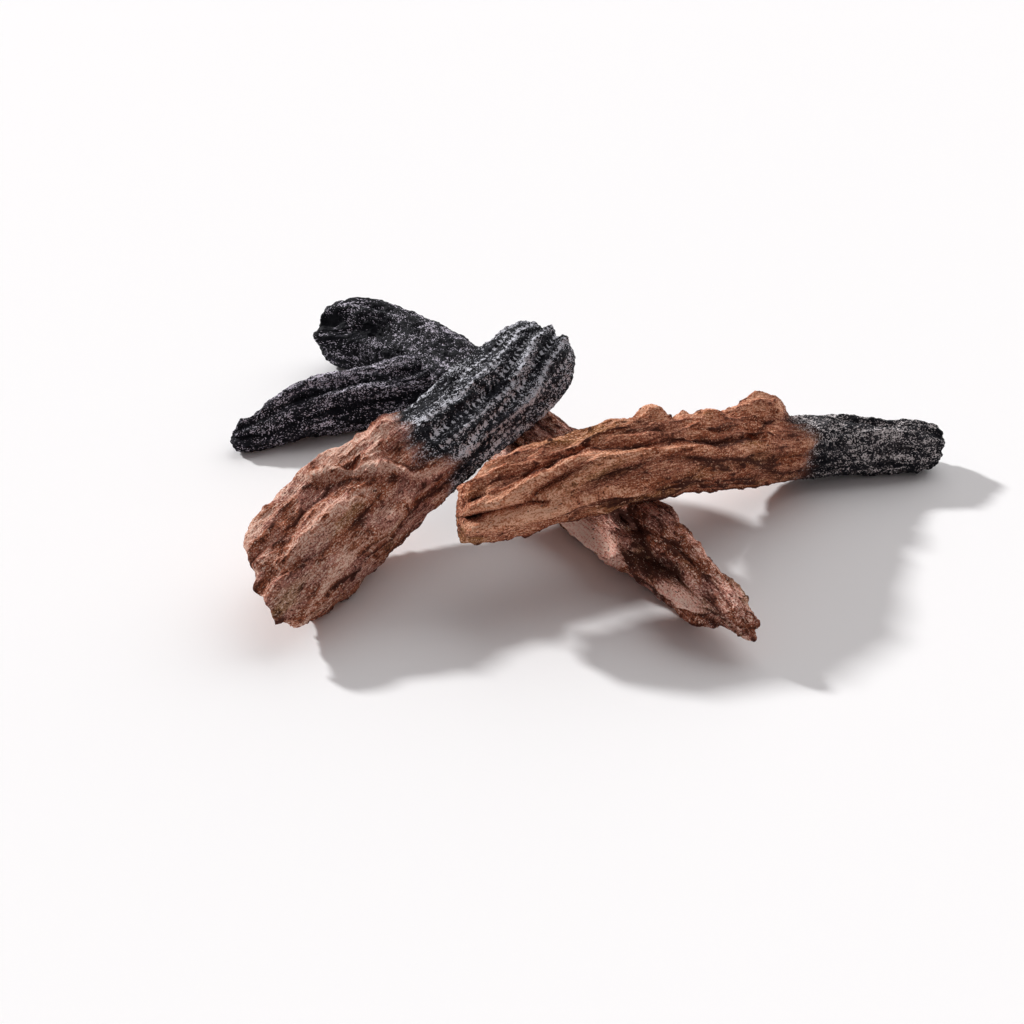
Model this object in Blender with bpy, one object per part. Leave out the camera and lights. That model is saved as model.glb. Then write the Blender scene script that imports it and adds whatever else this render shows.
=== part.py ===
"""Decorative log set for a fireplace: three loose ceramic castings, one laid over another.

The base log forks into two prongs and lies on the floor. The left and the right log each stand
on the floor with one end and lean on the trunk of the base log with the other.
Lengths are in metres, angles in radians, and +Z is up.
"""

from dataclasses import dataclass

import bpy
import numpy as np
from mathutils import Matrix
from mathutils.bvhtree import BVHTree

# Base log, from its pointed front end to the end of its back prong
TRUNK_LENGTH = 0.362
TRUNK_WIDTH = 0.047
TRUNK_THICKNESS = 0.035
TRUNK_HEADING = np.radians(124.4)

# The side prong of the base log, from the middle of the trunk to its own tip
PRONG_LENGTH = 0.122
PRONG_WIDTH = 0.035
PRONG_THICKNESS = 0.033
PRONG_HEADING = np.radians(206.0)
FORK_SHARE = 0.78

# Left log, from its broad brown end on the floor to its black end
LEFT_LENGTH = 0.205
LEFT_WIDTH = 0.064
LEFT_THICKNESS = 0.054
LEFT_HEADING = np.radians(53.0)
LEFT_CROSSING_SHARE = 0.92
TRUNK_UNDER_LEFT_SHARE = 0.55

# Right log, from its black tip on the floor to its two-lobed brown end. LOG_SPACING is the room
# between that end and the left log, were the left log of its full width there.
RIGHT_LENGTH = 0.279
RIGHT_WIDTH = 0.042
RIGHT_THICKNESS = 0.037
RIGHT_HEADING = np.radians(209.4)
RIGHT_CROSSING_SHARE = 0.685
LOG_SPACING = 0.0127

# Cast bark: height of its ridges, their number round a log, and the length over which they wander
BARK_RISE = 0.0012
BARK_RIDGES = 7
BARK_WANDER = 0.150

# Torn ends have a worn edge. The rings that close an end are shares of its outline. Points crowd round
# a log's top, where its bark is deepest, by this share of their spacing.
EDGE_ROUND = 0.006
EDGE_SHARE = 0.18
END_RING_SHARES = (0.0, 0.5, 0.86)
TOP_CROWDING_SHARE = 0.35

# Sharpness of a flat run's long edges
FACET_EDGE = 9

# Depth of the flats dressed on the undersides, the clearance at each seat, and the cuts' overrun
FLOOR_FLAT = 0.0012
SEAT_CLEARANCE = 0.0003
OVERRUN = 0.02

# Steepest lean that the search for a log's seat allows, and how often it halves
STEEPEST = np.radians(50.0)
SEARCH_STEPS = 22

CHARRED = (0.022, 0.025, 0.034, 1.0)
BROWN = (0.26, 0.085, 0.045, 1.0)
CHARRED_ROUGHNESS = 0.5
BROWN_ROUGHNESS = 0.85


@dataclass(frozen=True)
class LogForm:
    """One log in its own frame: X from its first end to its last, Z up, its right side at -Y.

    Places along a log are shares of its length. Places round it are turns: 0 is its right side, 0.25 its
    top, 0.5 its left side and 0.75 its underside. Reaches are where a form has sunk to about a third.

    lies_flat: whether the whole log lies on the floor, so that its underside is what rises and falls.
    core_shares: rows of place along the log, then its core's offset to the left and the rise of its
        core, or of its underside where it lies flat, as shares of length.
    section_shares: rows of place along the log, then shares of width and of thickness.
    strand_shares: rows of rise as a share of thickness, reach in turns, the share of the length over
        which it fades, and its path as pairs of place along and round. A furrow has a negative rise.
    knob_shares: rows of rise as a share of thickness, places along and round, reach along and in turns.
    facet_shares: rows of first and last place along, turn that it faces, the share of the half section
        that it takes off, and the share of the length over which it fades.
    end_shares: for the first and the last end, how far it juts as a share of width, where round the log
        it juts farthest, how far its middle swells and how far its rim jags.
    front_shares: rows of a turn and the place along at which the brown finish turns black.
    black_first: whether the black is at the first end.
    """

    name: str
    length: float
    width: float
    thickness: float
    lies_flat: bool
    rings: int
    sides: int
    core_shares: tuple
    section_shares: tuple
    strand_shares: tuple
    knob_shares: tuple
    facet_shares: tuple
    end_shares: tuple
    front_shares: tuple
    black_first: bool
    seed: int


TRUNK = LogForm(
    name="base_log",
    length=TRUNK_LENGTH,
    width=TRUNK_WIDTH,
    thickness=TRUNK_THICKNESS,
    lies_flat=True,
    rings=56,
    sides=36,
    core_shares=(
        (0.00, 0.000, 0.028), (0.09, -0.010, 0.016), (0.18, -0.027, 0.003), (0.30, -0.041, 0.000),
        (0.41, -0.050, 0.000), (0.50, -0.058, 0.000), (0.63, -0.074, 0.000), (0.78, -0.083, 0.000),
        (0.87, -0.080, 0.000), (0.95, -0.050, 0.000), (1.00, 0.000, 0.002),
    ),
    section_shares=(
        (0.00, 0.40, 0.45), (0.05, 0.48, 0.60), (0.12, 0.53, 0.76), (0.20, 0.68, 0.92), (0.30, 0.86, 0.97),
        (0.50, 0.88, 1.00), (0.70, 0.96, 1.00), (0.80, 1.05, 1.10), (0.90, 0.94, 1.14), (0.97, 0.84, 1.14),
        (1.00, 0.76, 1.10),
    ),
    strand_shares=(
        (0.08, 0.055, 0.05, (
            (-0.06, 0.29), (0.01, 0.27), (0.07, 0.22), (0.14, 0.19), (0.21, 0.17), (0.27, 0.16),
        )),
        (-0.17, 0.045, 0.05, (
            (0.08, 0.41), (0.12, 0.42), (0.16, 0.42), (0.19, 0.38), (0.23, 0.33), (0.40, 0.34),
        )),
        (0.13, 0.070, 0.02, ((0.195, 0.50), (0.24, 0.50), (0.29, 0.48), (0.36, 0.47), (0.44, 0.46))),
        (-0.13, 0.045, 0.03, ((-0.15, 0.36), (0.02, 0.36), (0.06, 0.35))),
        (0.07, 0.030, 0.05, ((0.02, 0.50), (0.05, 0.47), (0.09, 0.465), (0.13, 0.50), (0.18, 0.52))),
        (0.06, 0.035, 0.05, ((0.74, 0.19), (0.80, 0.21), (0.84, 0.245), (0.92, 0.27), (1.05, 0.28))),
        (-0.09, 0.050, 0.05, ((0.84, 0.33), (0.92, 0.37), (1.05, 0.39))),
        (0.06, 0.040, 0.05, ((0.84, 0.41), (0.95, 0.44), (1.05, 0.46))),
    ),
    knob_shares=((-0.12, 0.115, 0.365, 0.025, 0.035),),
    facet_shares=((-0.3, 0.052, 0.56, 0.50, 0.010),),
    end_shares=((0.12, 0.97, 0.01, 0.02), (0.04, 0.30, 0.08, 0.02)),
    front_shares=((0.0, 0.60), (0.5, 0.60)),
    black_first=False,
    seed=11,
)

PRONG = LogForm(
    name="side_prong",
    length=PRONG_LENGTH,
    width=PRONG_WIDTH,
    thickness=PRONG_THICKNESS,
    lies_flat=True,
    rings=24,
    sides=28,
    core_shares=(
        (0.00, 0.000, 0.050), (0.25, 0.045, 0.004), (0.49, 0.018, 0.012), (0.73, 0.008, 0.018),
        (0.91, 0.006, 0.000), (1.00, 0.000, 0.006),
    ),
    section_shares=(
        (0.00, 0.70, 0.66), (0.20, 0.95, 0.94), (0.45, 0.93, 0.94), (0.70, 0.80, 0.80), (0.88, 0.62, 0.60),
        (1.00, 0.50, 0.48),
    ),
    strand_shares=(
        (0.10, 0.050, 0.05, (
            (0.02, 0.19), (0.27, 0.19), (0.42, 0.18), (0.57, 0.21), (0.81, 0.26), (1.1, 0.24),
        )),
        (0.05, 0.025, 0.05, ((0.20, 0.40), (0.40, 0.36), (0.55, 0.36), (0.70, 0.33))),
        (-0.09, 0.055, 0.05, ((0.18, 0.46), (0.41, 0.45), (0.62, 0.46))),
        (-0.06, 0.030, 0.05, ((0.20, 0.29), (0.50, 0.29), (0.75, 0.31))),
    ),
    knob_shares=(),
    facet_shares=(),
    end_shares=((0.0, 0.0, 0.03, 0.025), (0.10, 0.55, 0.14, 0.01)),
    front_shares=((0.0, -1.0), (0.5, -1.0)),
    black_first=False,
    seed=12,
)

LEFT = LogForm(
    name="left_log",
    length=LEFT_LENGTH,
    width=LEFT_WIDTH,
    thickness=LEFT_THICKNESS,
    lies_flat=False,
    rings=54,
    sides=38,
    core_shares=(
        (0.00, 0.004, 0.000), (0.18, 0.010, 0.002), (0.36, 0.012, 0.008), (0.49, 0.002, 0.014),
        (0.61, -0.006, 0.016), (0.79, -0.010, 0.010), (0.92, -0.006, 0.003), (1.00, 0.000, 0.000),
    ),
    section_shares=(
        (0.00, 0.83, 0.84), (0.10, 0.89, 0.90), (0.25, 0.90, 0.92), (0.45, 0.82, 0.86), (0.60, 0.72, 0.77),
        (0.80, 0.72, 0.76), (0.92, 0.73, 0.75), (1.00, 0.68, 0.70),
    ),
    strand_shares=(
        (0.07, 0.035, 0.05, ((-0.20, 0.36), (0.04, 0.35), (0.15, 0.385), (0.27, 0.375), (0.36, 0.36))),
        (-0.06, 0.042, 0.05, ((-0.15, 0.18), (0.00, 0.215), (0.06, 0.25), (0.14, 0.285), (0.26, 0.30))),
        (0.05, 0.028, 0.05, ((-0.15, 0.14), (0.03, 0.19), (0.09, 0.20), (0.16, 0.19), (0.24, 0.17))),
        (0.05, 0.030, 0.05, (
            (-0.15, 0.0), (0.04, 0.05), (0.09, 0.07), (0.17, 0.08), (0.26, 0.07), (0.36, 0.06),
        )),
        (0.06, 0.025, 0.02, (
            (0.23, 0.33), (0.28, 0.28), (0.30, 0.23), (0.33, 0.20), (0.37, 0.16), (0.39, 0.12),
        )),
        (0.07, 0.026, 0.05, (
            (0.36, 0.13), (0.42, 0.09), (0.51, 0.065), (0.62, 0.04), (0.78, 0.05), (0.89, 0.11),
            (1.1, 0.14),
        )),
        (0.05, 0.028, 0.03, ((0.32, 0.23), (0.39, 0.25), (0.45, 0.28), (0.50, 0.33))),
        (0.045, 0.030, 0.05, ((0.57, 0.36), (0.75, 0.37), (0.94, 0.36), (1.1, 0.35))),
        (0.045, 0.026, 0.05, ((0.47, 0.22), (0.64, 0.21), (0.79, 0.24), (0.93, 0.28), (1.1, 0.29))),
        (0.045, 0.026, 0.05, ((0.50, 0.12), (0.65, 0.12), (0.79, 0.14), (0.92, 0.20), (1.1, 0.22))),
        (0.045, 0.030, 0.05, ((0.52, 0.01), (0.68, -0.05), (0.83, -0.06), (1.1, 0.02))),
        (-0.05, 0.022, 0.05, ((0.60, 0.155), (0.69, 0.15), (0.80, 0.18), (0.93, 0.24), (1.1, 0.25))),
        (-0.06, 0.022, 0.05, ((0.72, 0.085), (0.83, 0.10), (0.93, 0.16), (1.1, 0.18))),
    ),
    knob_shares=(
        (0.06, 0.36, 0.29, 0.09, 0.07), (-0.07, 0.405, 0.205, 0.04, 0.035),
        (-0.06, 0.23, 0.24, 0.06, 0.045), (0.05, 0.25, 0.17, 0.025, 0.030),
    ),
    facet_shares=((-0.3, 0.40, 0.20, 0.13, 0.08), (-0.3, 0.50, 0.945, 0.20, 0.08)),
    end_shares=((0.34, 0.10, 0.04, 0.012), (0.10, 0.22, 0.09, 0.010)),
    front_shares=(
        (0.04, 0.48), (0.08, 0.465), (0.13, 0.45), (0.19, 0.455), (0.26, 0.475), (0.37, 0.52), (0.70, 0.50),
    ),
    black_first=False,
    seed=13,
)

RIGHT = LogForm(
    name="right_log",
    length=RIGHT_LENGTH,
    width=RIGHT_WIDTH,
    thickness=RIGHT_THICKNESS,
    lies_flat=False,
    rings=60,
    sides=34,
    core_shares=(
        (0.00, 0.000, 0.000), (0.06, -0.021, 0.000), (0.14, -0.049, -0.002), (0.22, -0.072, -0.004),
        (0.30, -0.077, 0.001), (0.38, -0.064, 0.014), (0.46, -0.043, 0.030), (0.54, -0.019, 0.045),
        (0.62, 0.000, 0.056), (0.70, 0.009, 0.057), (0.78, 0.008, 0.048), (0.86, 0.004, 0.032),
        (0.94, 0.002, 0.014), (1.00, 0.000, 0.000),
    ),
    section_shares=(
        (0.00, 0.66, 0.68), (0.04, 0.72, 0.74), (0.10, 0.74, 0.76), (0.17, 0.76, 0.78), (0.24, 0.86, 0.86),
        (0.38, 0.94, 0.94), (0.57, 0.97, 0.95), (0.74, 0.98, 0.94), (0.87, 0.92, 0.90), (0.96, 0.82, 0.82),
        (1.00, 0.70, 0.70),
    ),
    strand_shares=(
        (0.05, 0.040, 0.05, (
            (0.68, 0.18), (0.76, 0.16), (0.84, 0.16), (0.90, 0.19), (0.98, 0.24), (1.1, 0.27),
        )),
        (-0.09, 0.033, 0.05, ((0.78, 0.285), (0.82, 0.29), (0.87, 0.305), (0.925, 0.32), (0.98, 0.35))),
        (0.06, 0.026, 0.05, ((0.78, 0.335), (0.84, 0.345), (0.89, 0.365), (0.935, 0.385), (0.99, 0.395))),
        (-0.09, 0.026, 0.05, ((0.80, 0.365), (0.85, 0.385), (0.915, 0.41))),
        (0.09, 0.032, 0.05, (
            (0.26, 0.41), (0.40, 0.425), (0.505, 0.43), (0.57, 0.42), (0.64, 0.385), (0.70, 0.37),
            (0.76, 0.38), (0.81, 0.40), (0.85, 0.42), (0.90, 0.435), (0.98, 0.43),
        )),
        (0.06, 0.030, 0.02, ((0.315, 0.23), (0.39, 0.33), (0.44, 0.39))),
        (0.05, 0.028, 0.05, (
            (0.03, 0.33), (0.085, 0.34), (0.155, 0.365), (0.23, 0.40), (0.33, 0.42), (0.415, 0.43),
        )),
        (-0.12, 0.030, 0.03, (
            (0.345, 0.27), (0.38, 0.31), (0.43, 0.36), (0.495, 0.385), (0.56, 0.38), (0.655, 0.335),
            (0.71, 0.33), (0.78, 0.30),
        )),
        (0.07, 0.032, 0.05, (
            (0.69, 0.52), (0.78, 0.47), (0.84, 0.475), (0.89, 0.49), (0.99, 0.49), (1.1, 0.49),
        )),
        (-0.13, 0.022, 0.03, ((0.88, 0.455), (0.915, 0.445), (0.945, 0.435), (0.98, 0.43), (1.1, 0.41))),
        (0.05, 0.020, 0.02, ((0.68, 0.57), (0.74, 0.51), (0.79, 0.48), (0.84, 0.50))),
        (-0.07, 0.028, 0.05, ((0.065, 0.44), (0.155, 0.47), (0.205, 0.50), (0.28, 0.50))),
    ),
    knob_shares=(
        (0.24, 0.638, 0.19, 0.021, 0.055), (0.26, 0.340, 0.185, 0.034, 0.070),
        (0.08, 0.303, 0.17, 0.016, 0.050), (0.08, 0.403, 0.19, 0.022, 0.050),
        (0.07, 0.434, 0.18, 0.018, 0.040), (0.06, 0.500, 0.20, 0.018, 0.040),
        (0.06, 0.573, 0.20, 0.020, 0.040), (-0.08, 0.285, 0.19, 0.018, 0.060),
    ),
    facet_shares=(),
    end_shares=((0.06, 0.30, 0.10, 0.006), (0.12, 0.62, 0.07, 0.008)),
    front_shares=((0.19, 0.304), (0.35, 0.304), (0.45, 0.295), (0.59, 0.281), (0.80, 0.281)),
    black_first=True,
    seed=14,
)


def smooth_curve(places, values, at):
    """Read a smooth curve through the given values at any places."""
    slopes = np.gradient(values, places)
    first = np.clip(np.searchsorted(places, at) - 1, 0, len(places) - 2)
    gap = places[first + 1] - places[first]
    part = (at - places[first]) / gap
    start, end = values[first], values[first + 1]
    start_slope, end_slope = slopes[first] * gap, slopes[first + 1] * gap
    bend = 3 * (end - start) - 2 * start_slope - end_slope
    twist = 2 * (start - end) + start_slope + end_slope
    return start + part * (start_slope + part * (bend + part * twist))


def soft_step(start, end, at):
    """Rise smoothly from 0 at start to 1 at end."""
    part = np.clip((at - start) / (end - start), 0.0, 1.0)
    return part * part * (3 - 2 * part)


def turn_distance(turn, centre):
    """Distance round the log, in turns, by the shorter way."""
    return (turn - centre + 0.5) % 1.0 - 0.5


def half_section(form, along):
    """Half the width and half the thickness of the log at places along it."""
    table = np.array(form.section_shares)
    inside = np.clip(along, 0, 1)
    half_width = form.width / 2 * smooth_curve(table[:, 0], table[:, 1], inside)
    half_height = form.thickness / 2 * smooth_curve(table[:, 0], table[:, 2], inside)
    return half_width, half_height


def core_points(form, along):
    """Points of the log's core line, in the log's frame."""
    table = np.array(form.core_shares)
    left = form.length * smooth_curve(table[:, 0], table[:, 1], along)
    up = form.length * smooth_curve(table[:, 0], table[:, 2], along)
    if form.lies_flat:
        up = up + half_section(form, along)[1]
    return np.stack((form.length * along, left, up), axis=-1)


def core_frame(form, along):
    """Core points, with the directions to the right and up that stand square to the core line."""
    step = 1 / form.rings
    tangent = core_points(form, along + step) - core_points(form, along - step)
    tangent /= np.linalg.norm(tangent, axis=-1, keepdims=True)
    right = np.cross(tangent, (0.0, 0.0, 1.0))
    right /= np.linalg.norm(right, axis=-1, keepdims=True)
    return core_points(form, along), right, np.cross(right, tangent)


def strand_rise(form, along, turn):
    """Rise of the log's strands, the ridges and furrows that run along it."""
    rise = np.zeros(along.shape)
    for rise_share, reach, fade_share, path in form.strand_shares:
        places, turns = np.array(path).T
        fade = min(fade_share, (places[-1] - places[0]) / 2)
        fade_in = soft_step(places[0] - fade / 2, places[0] + fade, along)
        fade_out = soft_step(places[-1] - fade, places[-1] + fade / 2, along)
        across = turn_distance(turn, np.interp(along, places, turns)) / reach
        rise += form.thickness * rise_share * fade_in * (1 - fade_out) * np.exp(-across * across)
    return rise


def knob_rise(form, along, turn):
    """Rise of the log's rounded knobs and hollows."""
    rise = np.zeros(along.shape)
    for rise_share, place, place_turn, reach, turn_reach in form.knob_shares:
        far = (along - place) / reach
        across = turn_distance(turn, place_turn) / turn_reach
        rise += form.thickness * rise_share * np.exp(-far * far - across * across)
    return rise


def facet_keep(form, along, turn, half_width, half_height):
    """Share of the way out from the core that the log's flat runs leave, with softened long edges."""
    keep = np.ones(along.shape)
    across = half_width * np.cos(2 * np.pi * turn)
    upright = half_height * np.sin(2 * np.pi * turn)
    for start, end, faced_turn, cut_share, fade in form.facet_shares:
        cut = cut_share * soft_step(start - fade, start + fade, along)
        cut *= 1 - soft_step(end - fade, end + fade, along)
        right_part, top_part = np.cos(2 * np.pi * faced_turn), np.sin(2 * np.pi * faced_turn)
        support = np.hypot(half_width * right_part, half_height * top_part)
        toward = np.maximum(across * right_part + upright * top_part, 0) / support
        flat = 1 + (toward / (1 - cut)) ** FACET_EDGE
        keep *= (flat / (1 + toward ** FACET_EDGE)) ** (-1 / FACET_EDGE)
    return keep


def bark_rise(form, along, turn):
    """Rise of the cast bark: wandering ridges with narrow furrows, calmer on the underside."""
    phases = np.random.default_rng(form.seed).uniform(0, 2 * np.pi, 4)
    waves = 2 * np.pi * along * form.length / BARK_WANDER
    round_angle = 2 * np.pi * turn
    wander = 0.5 * np.sin(waves + phases[0]) + 0.3 * np.sin(2 * waves + round_angle + phases[1])
    ridge = 2 * np.abs(np.sin(BARK_RIDGES * round_angle / 2 + wander)) - 1.2
    swell = 1 + 0.5 * np.sin(4 * waves + 2 * round_angle + phases[2])
    lumps = np.sin(3 * waves - 3 * round_angle + phases[3])
    underside = soft_step(0.0, 0.7, -np.sin(round_angle))
    return BARK_RISE * (ridge * swell + 0.6 * lumps) * (1 - underside)


def end_place(form, end, turn, shrink):
    """Place along the log of its first (0) or last (1) torn end, from its rim at shrink 1 inwards."""
    jut_share, jut_turn, dome_share, torn_share = form.end_shares[end]
    slant = jut_share * np.cos(2 * np.pi * (turn - jut_turn))
    dome = dome_share * (1 - shrink ** 2)
    phase = form.seed + end
    torn = torn_share * (np.sin(6 * np.pi * turn + phase) + np.sin(14 * np.pi * turn - phase))
    outward = 2 * end - 1
    return end + outward * (slant * shrink + dome + torn * shrink ** 3) * form.width / form.length


def skin_places(form):
    """Places of the skin's points: turn, part of the way along, and share of the section."""
    even = np.arange(form.sides) / form.sides
    turn = even + TOP_CROWDING_SHARE * np.cos(2 * np.pi * even) / (2 * np.pi)
    body = np.linspace(0, 1, form.rings)
    closing = np.array(END_RING_SHARES)
    shrink = np.concatenate((closing, np.ones(form.rings), closing[::-1]))[:, None]
    part = np.concatenate((np.zeros(len(closing)), body, np.ones(len(closing))))[:, None]
    return turn, part, shrink


def skin_points(form):
    """The log's skin as rings of points, each end closed by two smaller rings and a middle point."""
    turn, part, shrink = skin_places(form)
    along = (1 - part) * end_place(form, 0, turn, shrink) + part * end_place(form, 1, turn, shrink)
    half_width, half_height = half_section(form, along)
    keep = facet_keep(form, along, turn, half_width, half_height)
    to_end = form.length * np.minimum(part, 1 - part)
    shrink = shrink * (1 - EDGE_SHARE * np.exp(-to_end / EDGE_ROUND))
    form_rise = strand_rise(form, along, turn) + knob_rise(form, along, turn)
    rise = (form_rise + bark_rise(form, along, turn)) * shrink
    core, right, up = core_frame(form, along)
    across = np.cos(2 * np.pi * turn)
    upright = np.sin(2 * np.pi * turn)
    to_right = ((half_width * keep * shrink + rise) * across)[..., None]
    to_top = ((half_height * keep * shrink + rise) * upright)[..., None]
    return core + to_right * right + to_top * up


def skin_mesh(form):
    """Corner points, faces, and each face's places along and round the log."""
    rings = skin_points(form)
    turns, parts, _ = skin_places(form)
    poles = rings[0].mean(axis=0), rings[-1].mean(axis=0)
    rings = rings[1:-1]
    count = len(rings)
    points = np.concatenate((rings.reshape(-1, 3), np.array(poles)))
    first_pole, last_pole = len(points) - 2, len(points) - 1
    faces = []
    places = []
    for side in range(form.sides):
        after = (side + 1) % form.sides
        faces.append((first_pole, after, side))
        places.append((0.0, turns[side]))
        for ring in range(count - 1):
            here, here_after = ring * form.sides + side, ring * form.sides + after
            there, there_after = here + form.sides, here_after + form.sides
            faces += [(here, here_after, there_after), (here, there_after, there)]
            places += [(parts[ring + 1, 0], turns[side])] * 2
        top = (count - 1) * form.sides
        faces.append((last_pole, top + side, top + after))
        places.append((1.0, turns[side]))
    return points, faces, np.array(places)


def turned(points, matrix):
    """The points moved by a 4 by 4 matrix."""
    matrix = np.array(matrix)
    return points @ matrix[:3, :3].T + matrix[:3, 3]


def lay_matrix(form, heading, pitch, share, spot):
    """Turn a log to its heading, lean it by its pitch and bring its core at this share to the spot."""
    turn = Matrix.Rotation(heading, 4, "Z") @ Matrix.Rotation(-pitch, 4, "Y")
    core = turned(core_points(form, np.array([share])), turn)[0]
    return Matrix.Translation((spot[0] - core[0], spot[1] - core[1], 0)) @ turn


def down_to_floor(matrix, points):
    """Lower or raise a laid log until its lowest bark is just deep enough for its flat."""
    lowest = turned(points, matrix)[:, 2].min()
    return Matrix.Translation((0, 0, -FLOOR_FLAT - lowest)) @ matrix


def tree_of(points, faces):
    """A search tree of the faces."""
    return BVHTree.FromPolygons(points.tolist(), faces)


def leaned(form, heading, share, spot, carrier):
    """Place of a log with its low end on the floor and its underside just clear of its carrier."""
    points, faces, _ = skin_mesh(form)
    low, high = 0.0, STEEPEST
    for _ in range(SEARCH_STEPS):
        pitch = (low + high) / 2
        matrix = down_to_floor(lay_matrix(form, heading, pitch, share, spot), points)
        lowered = turned(points, matrix) - (0, 0, SEAT_CLEARANCE)
        if tree_of(lowered, faces).overlap(carrier):
            low = pitch
        else:
            high = pitch
    return down_to_floor(lay_matrix(form, heading, high, share, spot), points)


def base_places():
    """Places of the trunk and of its side prong, the trunk's first end over the origin."""
    trunk = Matrix.Rotation(TRUNK_HEADING, 4, "Z")
    fork = turned(core_points(TRUNK, np.array([FORK_SHARE])), trunk)[0]
    prong = Matrix.Translation((fork[0], fork[1], 0)) @ Matrix.Rotation(PRONG_HEADING, 4, "Z")
    floor = Matrix.Translation((0, 0, -FLOOR_FLAT))
    return floor @ trunk, floor @ prong


def spot_beside(left_place):
    """Spot on the trunk's core where the right log crosses, so that it just clears the left log."""
    shares = np.linspace(0, TRUNK_UNDER_LEFT_SHARE, 200)
    spots = turned(core_points(TRUNK, shares), base_places()[0])
    ends = core_points(RIGHT, np.array([RIGHT_CROSSING_SHARE, 1.0]))
    reach = turned(ends, Matrix.Rotation(RIGHT_HEADING, 4, "Z"))
    tips = spots + reach[1] - reach[0]
    axis = np.array(left_place)[:2, 0]
    away = (tips[:, :2] - np.array(left_place)[:2, 3]) @ (axis[1], -axis[0]) / np.linalg.norm(axis)
    wanted = (LEFT_WIDTH + RIGHT_WIDTH * RIGHT.section_shares[-1][1]) / 2 + LOG_SPACING
    return spots[np.argmin(np.abs(away - wanted))]


def finish(name, color, roughness):
    """A painted ceramic finish."""
    material = bpy.data.materials.new(name)
    material.use_nodes = True
    shader = material.node_tree.nodes["Principled BSDF"]
    shader.inputs["Base Color"].default_value = color
    shader.inputs["Roughness"].default_value = roughness
    shader.inputs["Metallic"].default_value = 0.0
    material.diffuse_color = color
    return material


def add_log(form, place):
    """Make a log's object, in its brown and its charred finish."""
    points, faces, places = skin_mesh(form)
    mesh = bpy.data.meshes.new(form.name)
    mesh.from_pydata(points.tolist(), [], faces)
    mesh.materials.append(finish(form.name + "_brown", BROWN, BROWN_ROUGHNESS))
    mesh.materials.append(finish(form.name + "_charred", CHARRED, CHARRED_ROUGHNESS))
    front_turns, front_places = np.array(form.front_shares).T
    beyond = places[:, 0] > np.interp(places[:, 1] % 1.0, front_turns, front_places, period=1.0)
    black = beyond != form.black_first
    mesh.polygons.foreach_set("material_index", black.astype(np.int32))
    mesh.shade_smooth()
    log = bpy.data.objects.new(form.name, mesh)
    bpy.context.scene.collection.objects.link(log)
    log.matrix_world = place
    return log


def as_cutter(tool):
    """Keep a shape that only serves others out of the render."""
    tool.hide_render = True
    tool.display_type = "WIRE"


def add_boolean(target, tool, operation):
    """Join a shape to the target or cut it away."""
    modifier = target.modifiers.new(tool.name, "BOOLEAN")
    modifier.operation = operation
    modifier.object = tool
    modifier.solver = "EXACT"


def add_floor():
    """The block below the floor line that dresses the undersides flat."""
    reach = TRUNK_LENGTH + LEFT_LENGTH + RIGHT_LENGTH
    depth = TRUNK_THICKNESS + OVERRUN
    bpy.ops.mesh.primitive_cube_add(size=1, location=(0, 0, -depth / 2))
    floor = bpy.context.object
    floor.name = "floor_cutter"
    floor.scale = (reach, reach, depth)
    as_cutter(floor)
    return floor


def main():
    """Lay the three logs, centre them over the origin and make their objects."""
    for old in list(bpy.data.objects):
        bpy.data.objects.remove(old)

    trunk_place, prong_place = base_places()
    trunk_points, trunk_faces, _ = skin_mesh(TRUNK)
    carrier = tree_of(turned(trunk_points, trunk_place), trunk_faces)

    under_left = core_points(TRUNK, np.array([TRUNK_UNDER_LEFT_SHARE]))
    left_spot = turned(under_left, trunk_place)[0]
    left_place = leaned(LEFT, LEFT_HEADING, LEFT_CROSSING_SHARE, left_spot, carrier)
    right_spot = spot_beside(left_place)
    right_place = leaned(RIGHT, RIGHT_HEADING, RIGHT_CROSSING_SHARE, right_spot, carrier)

    laid = ((TRUNK, trunk_place), (PRONG, prong_place), (LEFT, left_place), (RIGHT, right_place))
    cloud = np.concatenate([turned(skin_mesh(form)[0], place) for form, place in laid])
    cloud = cloud[cloud[:, 2] >= 0]
    middle = (cloud.min(axis=0) + cloud.max(axis=0)) / 2
    centred = Matrix.Translation((-middle[0], -middle[1], 0))

    trunk = add_log(TRUNK, centred @ trunk_place)
    prong = add_log(PRONG, centred @ prong_place)
    left = add_log(LEFT, centred @ left_place)
    right = add_log(RIGHT, centred @ right_place)
    as_cutter(prong)
    add_boolean(trunk, prong, "UNION")
    floor = add_floor()
    for log in (trunk, left, right):
        add_boolean(log, floor, "DIFFERENCE")


main()
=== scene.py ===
"""Decorative log set: three loose cast ceramic logs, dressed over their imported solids.

Lengths are in metres and +Z is up. Along a log, places are shares of its length, from its first end
to its last. Round it they are turns: 0 is its right side, 0.25 its top, 0.5 its left side and 0.75
its underside, seen from its first end.
"""

import itertools
import logging
from collections.abc import Mapping
from dataclasses import dataclass, field
from enum import Enum
from typing import Optional, Union

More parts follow.
